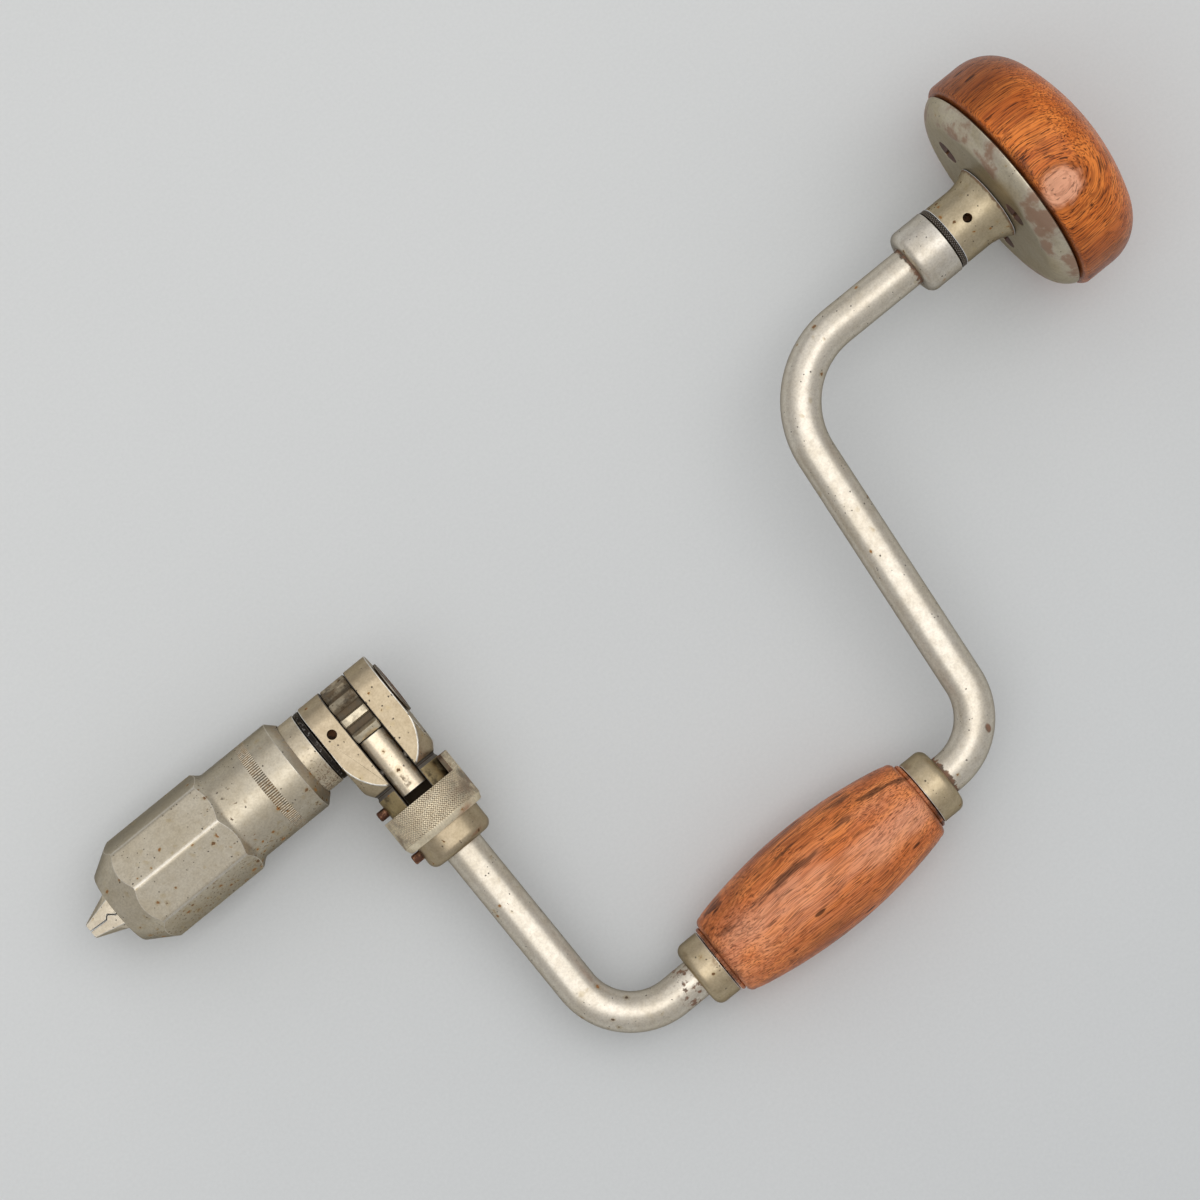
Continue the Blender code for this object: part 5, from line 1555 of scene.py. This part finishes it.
# %% Cut the wheel
WHEEL_HALF_WIDTH = SLOT_HALF_WIDTH - WHEEL_GAP
WHEEL_EASE = 0.0004
WHEEL_HUB = SPINDLE_JOURNAL + FIT
WHEEL_SEGMENTS = 60 * WHEEL_TEETH
WHEEL_TONE = (0.78, 0.69, 0.52)
VALLEY_OIL = (0.085, 0.050, 0.023)


def oily_valleys(spot):
    """Dark brown oil in the valleys, thinning out towards the lands, and thickest away from the grip."""
    wavy = ragged(spot.place, 600.0, 5.0, 0.0014)
    deep = ramp(spot.from_spindle + wavy, 0.0119, 0.0105)
    stain = patches(spot.place, 330.0, 5.0, 0.40, 0.60)
    far = ramp(spot.across + wavy, 0.0010, 0.0050)
    return most(deep * 0.88, far * 0.55 + stain * 0.35)


WHEEL_NICKEL = nickel("wheel_nickel", WHEEL_TONE, 0.35, 0.15, 0.25, oily_valleys, stain=VALLEY_OIL)
half = [(-WHEEL_HALF_WIDTH, WHEEL_HUB), (-WHEEL_HALF_WIDTH, WHEEL_RADIUS - WHEEL_EASE)]
half.append((-WHEEL_HALF_WIDTH + WHEEL_EASE, WHEEL_RADIUS))
profile = half + [(-along, radius) for along, radius in reversed(half)]
wheel = blank("toothed_wheel", lathe(profile, WHEEL_SEGMENTS))
pitch = 360 / WHEEL_TEETH
values = {"Teeth": float(WHEEL_TEETH), "Tip radius": WHEEL_RADIUS, "Root radius": WHEEL_ROOT}
values.update({"Half land": HALF_LAND_DEG / pitch, "Half root": HALF_ROOT_DEG / pitch})
wheel = through(wheel, TEETH, {**values, "Outside": WHEEL_ROOT, "Material": WHEEL_NICKEL})
wheel.data.transform(ALONG_SPINDLE)
settle(finished(tidy_cuts(wheel), WHEEL_NICKEL), "ratchet_wheel")

# %% [markdown]
# ## The spindle and what turns with it
#
# The spindle passes through the box and ends in the socket that holds the jaws. Only a plain collar of
# it shows, spotted brown, between the shell and a black washer. When the shell is screwed forward to
# open the jaws, more of the collar comes out of it, so the spindle is made whole.

# %% Turn the spindle and the washers
SPINDLE_RADIUS = 0.01255
SOCKET_RADIUS = 0.0118
SPINDLE_COLLAR_X = -0.0153
SPINDLE_STEP_X = -0.0440
SOCKET_FLOOR_X = -0.0524
JAW_SLOT_HALF = 0.0055
SPINDLE_EASE = 0.00025
SPINDLE_TONE = (0.66, 0.57, 0.43)
BLACK = (0.022, 0.020, 0.019)
BARE_FLECK = (0.24, 0.23, 0.22)
SPINDLE_FRONT, SPINDLE_BACK, _, _ = turned_size("chuck_spindle", ALONG_SPINDLE)


def spotted_collar(spot):
    """Brown spots, thicker on the side towards the grip, and black oil on the journal."""
    low = ramp(spot.across, 0.004, -0.010) * -0.16 + 0.66
    spots = ramp(cloud(spot.place, 1500.0, 4.0, 0.65), low, low + 0.10) * 0.65
    return most(spots, ramp(spot.from_spindle, SPINDLE_JOURNAL + 0.0004, SPINDLE_JOURNAL + 0.0002))


def flecked_black(spot):
    """Black rubber-like dirt with flecks of bare metal."""
    return mixed(patches(spot.place, 900.0, 4.0, 0.55, 0.66, 0.65), BLACK, BARE_FLECK)


SPINDLE_NICKEL = nickel("spindle_nickel", SPINDLE_TONE, 0.55, 0.35, 0.25, spotted_collar)
profile = [
    (SPINDLE_BACK, 0.0),
    (SPINDLE_BACK, SPINDLE_JOURNAL),
    (SPINDLE_COLLAR_X, SPINDLE_JOURNAL),
    (SPINDLE_COLLAR_X, SPINDLE_RADIUS),
    (SPINDLE_STEP_X, SPINDLE_RADIUS),
    (SPINDLE_STEP_X, SOCKET_RADIUS),
    (SPINDLE_FRONT, SOCKET_RADIUS),
    (SPINDLE_FRONT, 0.0),
]
spindle = blank("slotted_spindle", lathe(profile, ring=False), ALONG_SPINDLE)
past = 2 * SPINDLE_RADIUS
mill = block((2 * SPINDLE_FRONT, -past, -JAW_SLOT_HALF), (SOCKET_FLOOR_X, past, JAW_SLOT_HALF))
carve(spindle, blank("jaw_slot_mill", mill))
settle(finished(tidy_cuts(spindle), SPINDLE_NICKEL, BRIGHT_EDGE, SPINDLE_EASE), "chuck_spindle")

BLACK_RING = nickel("black_ring", flecked_black, 0.05, 0.10, 0.15, strength=1.0)
END_STEEL = nickel("end_ring_steel", (0.33, 0.295, 0.25), 0.20, 0.30, 0.30, strength=0.8)
for name, node, look, ease in (
    ("thrust_washer", "spindle_thrust_washer", BLACK_RING, 0.00025),
    ("end_washer", "spindle_end_ring", END_STEEL, 0.00020),
):
    start, end, _, radius = turned_size(node, ALONG_SPINDLE)
    profile = [(start, WHEEL_HUB), (start, radius), (end, radius), (end, WHEEL_HUB)]
    settle(finished(blank(name, lathe(profile), ALONG_SPINDLE), look, DARK_STEEL, ease), node)

# %% [markdown]
# ## The chuck's shell
#
# The shell is turned with a sleeve at the back and a cone at the front, and then eight flats are milled
# on its middle, so each flat meets the cone and the cove in an arch. The rule for that is short: at each
# angle the flat has a known radius, and it starts and ends where the turned profile has that radius too.
# So the skin is made column by column, and its rows follow the arches, with a narrow rubbed edge on each.
# A fine straight knurl on the sleeve is a thin band of its own, set in a shallow bed.

# %% The shell's profile
SHELL_FRONT, SHELL_REAR, NOSE_HOLE, _ = turned_size("chuck_shell", ALONG_SPINDLE)
SLEEVE_RADIUS = 0.01585
REAR_CHAMFER = 0.0027
SLEEVE_FRONT = -0.0470
COVE = 0.0027
COVE_SETBACK = 0.00135
OCTAGON_REAR = -0.0512
OCTAGON_FRONT = -0.0826
OCTAGON_RADIUS = 0.0184
OCTAGON_TURN = 85.5
HALF_SIDE_DEG = 22.5
RUBBED = 0.00011
RIDGE_WEAR = 0.0030
NOSE_RADIUS = 0.0122
NOSE_ROUND = 0.0016
NOSE_LIP = 0.0023
NOSE_WALL = 0.0017
COUNTERBORE = 0.0143
COUNTERBORE_END = -0.0580
SLEEVE_HOLE = SPINDLE_RADIUS + 0.0003
KNURL_FRONT = -0.0351
KNURL_BACK = -0.0315
KNURL_BED = 0.0004


def shell_column(radius):
    """The profile where the flats have this radius, and the rows after which a rubbed edge lies."""
    lip = SHELL_FRONT + NOSE_LIP
    cove = SLEEVE_FRONT - COVE_SETBACK
    chamfer = SHELL_REAR - REAR_CHAMFER
    cone = (OCTAGON_RADIUS - NOSE_RADIUS) / (OCTAGON_FRONT - SHELL_FRONT)
    fall = (OCTAGON_RADIUS - SLEEVE_RADIUS) / (cove - OCTAGON_REAR)
    front = SHELL_FRONT + (radius - NOSE_RADIUS) / cone
    rear = OCTAGON_REAR + (OCTAGON_RADIUS - radius) / fall
    seat = NOSE_RADIUS + cone * NOSE_LIP - NOSE_WALL
    nose = [
        (lip, NOSE_HOLE, 0.0),
        (SHELL_FRONT, NOSE_HOLE, 0.0),
        (SHELL_FRONT, NOSE_RADIUS, NOSE_ROUND),
        (front - RUBBED, radius - cone * RUBBED, 0.0),
    ]
    flat = [(front + RUBBED, radius), (rear - RUBBED, radius)]
    sleeve = [
        (rear + RUBBED, radius - fall * RUBBED, 0.0),
        (cove, SLEEVE_RADIUS, COVE),
        (KNURL_FRONT, SLEEVE_RADIUS, 0.0),
        (KNURL_FRONT, SLEEVE_RADIUS - KNURL_BED, 0.0),
        (KNURL_BACK, SLEEVE_RADIUS - KNURL_BED, 0.0),
        (KNURL_BACK, SLEEVE_RADIUS, 0.0),
        (chamfer - RUBBED, SLEEVE_RADIUS, 0.0),
        (chamfer + RUBBED, SLEEVE_RADIUS - RUBBED, 0.0),
        (SHELL_REAR, SLEEVE_HOLE + 0.0003, 0.0),
        (SHELL_REAR, SLEEVE_HOLE, 0.0),
        (COUNTERBORE_END, SLEEVE_HOLE, 0.0),
        (COUNTERBORE_END, COUNTERBORE, 0.0),
        (lip + (COUNTERBORE - seat) / cone, COUNTERBORE, 0.0),
        (lip, seat, 0.0),
    ]
    nose = rounded(nose, 8)
    sleeve = rounded(sleeve, 8)
    points = nose + flat + sleeve
    rubbed_rows = {len(nose) - 1, len(nose) + 1, len(points) - 8}
    return points, rubbed_rows, len(nose)


print("shell profile:", len(shell_column(OCTAGON_RADIUS)[0]), "points")

# %% Mill the octagon
FLAT_RADIUS = OCTAGON_RADIUS * math.cos(math.radians(HALF_SIDE_DEG))


def octagon_corner(turn):
    """Radius and angle from the ridge of a point on a worn ridge, where its face has turned so far."""
    centre = (FLAT_RADIUS - RIDGE_WEAR) / math.cos(math.radians(HALF_SIDE_DEG))
    out, aside = polar(RIDGE_WEAR, turn)
    return math.hypot(centre + out, aside), math.degrees(math.atan2(aside, centre + out))


def octagon_columns(flat_steps=14, ridge_steps=6):
    """Radius, angle and whether a rubbed line follows, for each column round the shell."""
    widest = HALF_SIDE_DEG - octagon_corner(HALF_SIDE_DEG)[1]
    for side in range(8):
        middle = OCTAGON_TURN + HALF_SIDE_DEG + 45 * side
        for lean in evenly(-widest, widest, flat_steps)[:-1]:
            yield FLAT_RADIUS / math.cos(math.radians(lean)), middle + lean, False
        for step, turn in enumerate(evenly(-HALF_SIDE_DEG, HALF_SIDE_DEG, ridge_steps)[:-1]):
            radius, lean = octagon_corner(turn)
            yield radius, middle + HALF_SIDE_DEG + lean, 2 <= step < ridge_steps - 2


def shell_shape():
    """Columns of points round the spindle, joined into a skin, with the rubbed edges as material 1."""
    shape = bmesh.new()
    columns = []
    for radius, turn, rubbed in octagon_columns():
        points, rubbed_rows, flat_row = shell_column(radius)
        columns.append(([shape.verts.new((*polar(out, turn), along)) for along, out in points], rubbed))
    for (column, rubbed), (beside, _) in zip(columns, columns[1:] + columns[:1]):
        for row in range(len(column)):
            after = (row + 1) % len(column)
            face = shape.faces.new((column[row], beside[row], beside[after], column[after]))
            if row in rubbed_rows or rubbed and row == flat_row:
                face.material_index = 1
    return shape


shell = blank("octagon_shell", shell_shape(), ALONG_SPINDLE)
print("shell:", len(shell.data.polygons), "faces")

# %% Finish the shell
# painted shade: the flats darken from the top of the shell down to its low side
SHELL_TONE = shaded_low_sides((0.65, 0.585, 0.47), 0.0140, 0.0020)
GOLDEN_DIRT = (0.24, 0.125, 0.035)


def shell_stains(spot):
    """Brown stain by the knurl, a dirty rear bevel, specks by the cove and dots on the grip's side."""
    place = spot.place
    along = spot.along + ragged(place, 330.0, 4.0, 0.0040)
    belt = band(along, KNURL_FRONT + 0.0004, KNURL_BACK - 0.0006, 0.0006)
    belt = belt * patches(place, 1300.0, 3.0, 0.46, 0.60)
    in_knurl = band(spot.along, KNURL_FRONT, KNURL_BACK, 0.0001)
    valley = in_knurl * ramp(spot.from_spindle, SLEEVE_RADIUS - 0.00006, SLEEVE_RADIUS - 0.00022)
    bevel = ramp(spot.along, SHELL_REAR - REAR_CHAMFER, SHELL_REAR - 0.0004)
    cove = band(along, OCTAGON_REAR - 0.0010, SLEEVE_FRONT + 0.0030, 0.0040)
    cove = cove * patches(place, 620.0, 4.0, 0.62, 0.68, 0.6)
    dots = ramp(spot.across, -0.0090, -0.0140) * patches(place, 1100.0, 3.0, 0.58, 0.64, 0.6)
    return most(belt * 0.35, valley * 0.85, dots * 0.70, bevel * 0.40, cove * 0.75)


def low_side_specks(spot):
    """Few specks on the far side of the shell and many on the side that faces the grip."""
    return ramp(spot.across, 0.012, -0.014) * 0.75 + 0.22


SHELL_NICKEL = nickel(
    "shell_nickel", SHELL_TONE, 0.30, low_side_specks, 0.30, shell_stains, stain=GOLDEN_DIRT
)
shell.data.materials.append(SHELL_NICKEL)
shell.data.materials.append(nickel("shell_edge", (0.74, 0.69, 0.60), 0.20, 0.04, 0.04))
settle(evened(shell), "chuck_shell")

# %% Roll the knurl on the sleeve
BAND_RIDGES = 126
BAND_ROWS = 8
BAND_DEPTH = 0.00030
inner, outer = SLEEVE_RADIUS - KNURL_BED, SLEEVE_RADIUS
knurl_band = knurl_blank("sleeve_knurl", KNURL_FRONT, KNURL_BACK, inner, outer, BAND_ROWS, BAND_RIDGES)
pattern = (BAND_RIDGES, 0.0, BAND_DEPTH, 0.35)
start, end = KNURL_FRONT - FIT, KNURL_BACK + FIT
knurl_band = knurled(knurl_band, ALONG_SPINDLE, SHELL_NICKEL, pattern, start, end, SLEEVE_RADIUS - FIT)
mount(knurl_band, "chuck_shell")

# %% [markdown]
# ## The jaws
#
# Two forged jaws close on the bit's square end. They meet on a line with a zigzag near the tips, which
# keeps one from sliding past the other. Each is a loft through a row of half octagons: a small tip, a
# wide shoulder that the shell's ring presses in, and a tang in the spindle's slot. A V groove down the
# middle takes the bit.

# %% Forge the jaws
JAW_TIP = -0.1033
JAW_TIP_LOOP = (0.00225, 0.0026, 0.0014, 0.0030)
JAW_ZIGZAG = ((-0.0972, -0.0003), (-0.0960, 0.0008), (-0.0936, -0.0008))
JAW_NOSE_REACH = 0.0076
JAW_WIDE_REACH = 0.0116
JAW_CORNER_DEG = (51.7, 26.6)
JAW_WIDE = -0.0760
JAW_SHOULDER = -0.0703
JAW_TANG = -0.0696
JAW_TANG_END = -0.0532
JAW_TANG_LOOP = (0.0089, 0.0095, 0.0026, 0.0052)
JAW_RELIEF = 0.0034
JAW_RELIEF_X = -0.0660
JAW_HALF_GAP = 0.00016
JAW_GROOVE = 0.0020
JAW_EASE = 0.00015


def jaw_loop(reach):
    """Corners of the half octagon that a jaw fills: (flat across, side across, side up, top up)."""
    flat_across, top_up = polar(reach, JAW_CORNER_DEG[0])
    side_across, side_up = polar(reach, JAW_CORNER_DEG[1])
    return flat_across, side_across, side_up, top_up


JAW_NOSE_LOOP = jaw_loop(JAW_NOSE_REACH)


def jaw_rows():
    """Rows of (x, where the jaws meet, the loop there)."""
    wide = jaw_loop(JAW_WIDE_REACH)
    rows = [(JAW_TIP, 0.0, JAW_TIP_LOOP)]
    for x, meet in JAW_ZIGZAG:
        share = (x - JAW_TIP) / (SHELL_FRONT - JAW_TIP)
        rows.append((x, meet, tuple(a + (b - a) * share for a, b in zip(JAW_TIP_LOOP, JAW_NOSE_LOOP))))
    rows += [(SHELL_FRONT, 0.0, JAW_NOSE_LOOP), (JAW_WIDE, 0.0, wide), (JAW_SHOULDER, 0.0, wide)]
    rows += [(JAW_TANG, 0.0, JAW_TANG_LOOP), (JAW_RELIEF_X - 0.0003, 0.0, JAW_TANG_LOOP)]
    return rows + [(JAW_RELIEF_X, JAW_RELIEF, JAW_TANG_LOOP), (JAW_TANG_END, JAW_RELIEF, JAW_TANG_LOOP)]


def jaw_oil_and_shade(spot):
    """Painted shade with oil in the line where the jaws meet, in their groove, and on their backs inside the
    shell.
    """
    along = spot.along + ragged(spot.place, 900.0, 4.0, 0.0012)
    inside = ramp(along, SHELL_FRONT - 0.0006, SHELL_FRONT + 0.0006)
    tip_up = JAW_TIP_LOOP[3]
    rise = (JAW_NOSE_LOOP[3] - tip_up) / (SHELL_FRONT - JAW_TIP)
    top = spot.along * rise + (tip_up - rise * JAW_TIP)
    sunk = ramp(top - spot.up, 0.0001, 0.0005) * ramp(abs(spot.across), 0.0013, 0.0010)
    from_line = spot.across
    corners = ((JAW_TIP, 0.0), *JAW_ZIGZAG, (SHELL_FRONT, 0.0))
    for (start, low), (end, high) in zip(corners, corners[1:]):
        from_line = ramp(spot.along, start, end) * (low - high) + from_line
    line = ramp(abs(from_line), 2.6 * JAW_HALF_GAP, 1.4 * JAW_HALF_GAP)
    return most(inside * 0.7, sunk, line * 0.95)


JAW_NICKEL = nickel("jaw_nickel", (0.74, 0.655, 0.52), 0.25, 0.16, 0.14, jaw_oil_and_shade)
for name, node, side in (("forged_jaw_far", "jaw_far_side", 1), ("forged_jaw_near", "jaw_grip_side", -1)):
    sections = []
    for x, meet, (flat_across, side_across, side_up, top_up) in jaw_rows():
        inner = (side * meet if x < SHELL_FRONT else meet) + JAW_HALF_GAP
        upper = [(side_across, side_up), (flat_across, top_up), (inner, top_up)]
        loop = [(across, -up) for across, up in reversed(upper)] + upper
        sections.append([Vector((x, side * across, up)) for across, up in loop])
    jaw = blank(name, loft(sections))
    groove = prism([polar(JAW_GROOVE, 90 * corner) for corner in range(4)], 2 * JAW_TIP, JAW_SHOULDER)
    carve(jaw, blank("groove_mill", groove, ALONG_SPINDLE))
    settle(finished(tidy_cuts(jaw), JAW_NICKEL, BRIGHT_EDGE, JAW_EASE), node)

# %% [markdown]
# ## Pieces that keep their CAD shape
#
# The jaws' spring, the nut and washer under the knob, the wheel's pin and the shell's ring hardly show,
# so their CAD shapes are good enough. They still get a finish: bright steel, or dark steel for the nut.

# %% Finish the hidden pieces
KEPT = {
    "head_washer": BRIGHT_STEEL,
    "head_nut": DARK_STEEL,
    "jaw_spring": BRIGHT_STEEL,
    "ratchet_wheel_pin": BRIGHT_STEEL,
    "jaw_closing_ring": BRIGHT_STEEL,
}
for node, look in KEPT.items():
    mesh = frame["nodes"][node].data
    mesh.materials.clear()
    mesh.materials.append(look)
print("kept as CAD shapes:", ", ".join(KEPT))

# %% [markdown]
# ## Table, light and camera
#
# The brace lies on a pale grey table under soft light from above. Metal shows what is round it more than
# its own colour, so the world is a dome that is bright overhead and darker towards the horizon, which
# gives round bars a bright middle and dark sides. A window overhead puts the gloss on the varnish, and a
# broad lamp behind the brace adds the soft shadow. The camera looks almost straight down, through a long
# lens, with the chuck at the lower left of the picture.

# %% The table
TABLE_HALF = 3.0
TABLE_NEAR_SHADE = (0.640, 0.656, 0.662)
TABLE_FAR_LIGHT = (0.745, 0.756, 0.752)


def make_table():
    shape = bmesh.new()
    bmesh.ops.create_grid(shape, x_segments=4, y_segments=4, size=TABLE_HALF)
    table = blank("table", shape)
    table.location.z = CAD_BOX[0][2]
    material = bpy.data.materials.new("pale_table")
    material.use_nodes = True
    tree = material.node_tree
    spot = Wire(tree.nodes.new("ShaderNodeTexCoord").outputs["Object"])
    # painted light falling off across the table: lighter towards +Y, darker towards -Y
    far = ramp(cloud(spot, 5.0, 4.0) * 0.3 + split(spot)[1], -0.15, 0.45)
    tint = mixed(0.06, mixed(far, TABLE_NEAR_SHADE, TABLE_FAR_LIGHT), cloud(spot, 900.0, 2.0))
    shader = tree.nodes["Principled BSDF"].inputs
    plug_all(shader, {"Base Color": tint, "Roughness": 0.6, "Specular IOR Level": 0.25})
    table.data.materials.append(material)
    return table


TABLE = make_table()
print("table at height", round(TABLE.location.z, 5))

# %% The light
BROAD_LAMP = (Vector((-0.10, 1.00, 1.20)), (1.2, 1.2), 1.4)
WINDOW = (Vector((0.0, -0.10, 1.45)), (3.0, 0.9), 8.1)
DOME = ((0.0, 0.42), (0.3, 0.48), (0.6, 0.58), (0.85, 0.66), (1.0, 0.72))


def add_lamp(name, place, sides, power):
    lamp = bpy.data.lights.new(name, "AREA")
    lamp.shape = "RECTANGLE"
    lamp.size, lamp.size_y = sides
    lamp.energy = power
    holder = bpy.data.objects.new(name, lamp)
    holder.location = place
    holder.rotation_euler = place.to_track_quat("Z", "Y").to_euler()
    holder.visible_camera = False
    bpy.context.scene.collection.objects.link(holder)


def make_dome():
    world = bpy.data.worlds.new("soft_room")
    world.use_nodes = True
    bpy.context.scene.world = world
    tree = world.node_tree
    _, _, height = split(Wire(tree.nodes.new("ShaderNodeTexCoord").outputs["Generated"]))
    sky = add_node("ShaderNodeValToRGB", {0: height})
    steps = sky.socket.node.color_ramp.elements
    steps[1].position = DOME[-1][0]
    for position, _ in DOME[1:-1]:
        steps.new(position)
    for step, (_, level) in zip(steps, DOME):
        step.color = (level, level, level, 1.0)
    plug(tree.nodes["Background"].inputs["Color"], sky)


make_dome()
add_lamp("broad_lamp", *BROAD_LAMP)
add_lamp("window", *WINDOW)
print("lamps at", tuple(BROAD_LAMP[0]), "and", tuple(WINDOW[0]))

# %% The camera
CAMERA_PLACE = Vector((-0.0960, -0.0502, 1.0516))
CAMERA_TARGET = Vector((-0.0114, 0.0344, 0.0220))
PICTURE_UP = Vector((0.6308, 0.7759, 0.0))
LENS = 101.7
SENSOR = 36.0


def make_camera():
    lens = bpy.data.cameras.new("camera")
    lens.lens = LENS
    lens.sensor_width = SENSOR
    camera = bpy.data.objects.new("camera", lens)
    back = (CAMERA_PLACE - CAMERA_TARGET).normalized()
    right = PICTURE_UP.cross(back).normalized()
    turn = Matrix((right, back.cross(right), back)).transposed().to_4x4()
    camera.matrix_world = Matrix.Translation(CAMERA_PLACE) @ turn
    bpy.context.scene.collection.objects.link(camera)
    bpy.context.scene.camera = camera


make_camera()
bpy.context.scene.view_settings.view_transform = "Standard"
print("camera", round((CAMERA_PLACE - CAMERA_TARGET).length, 3), "m from the brace")
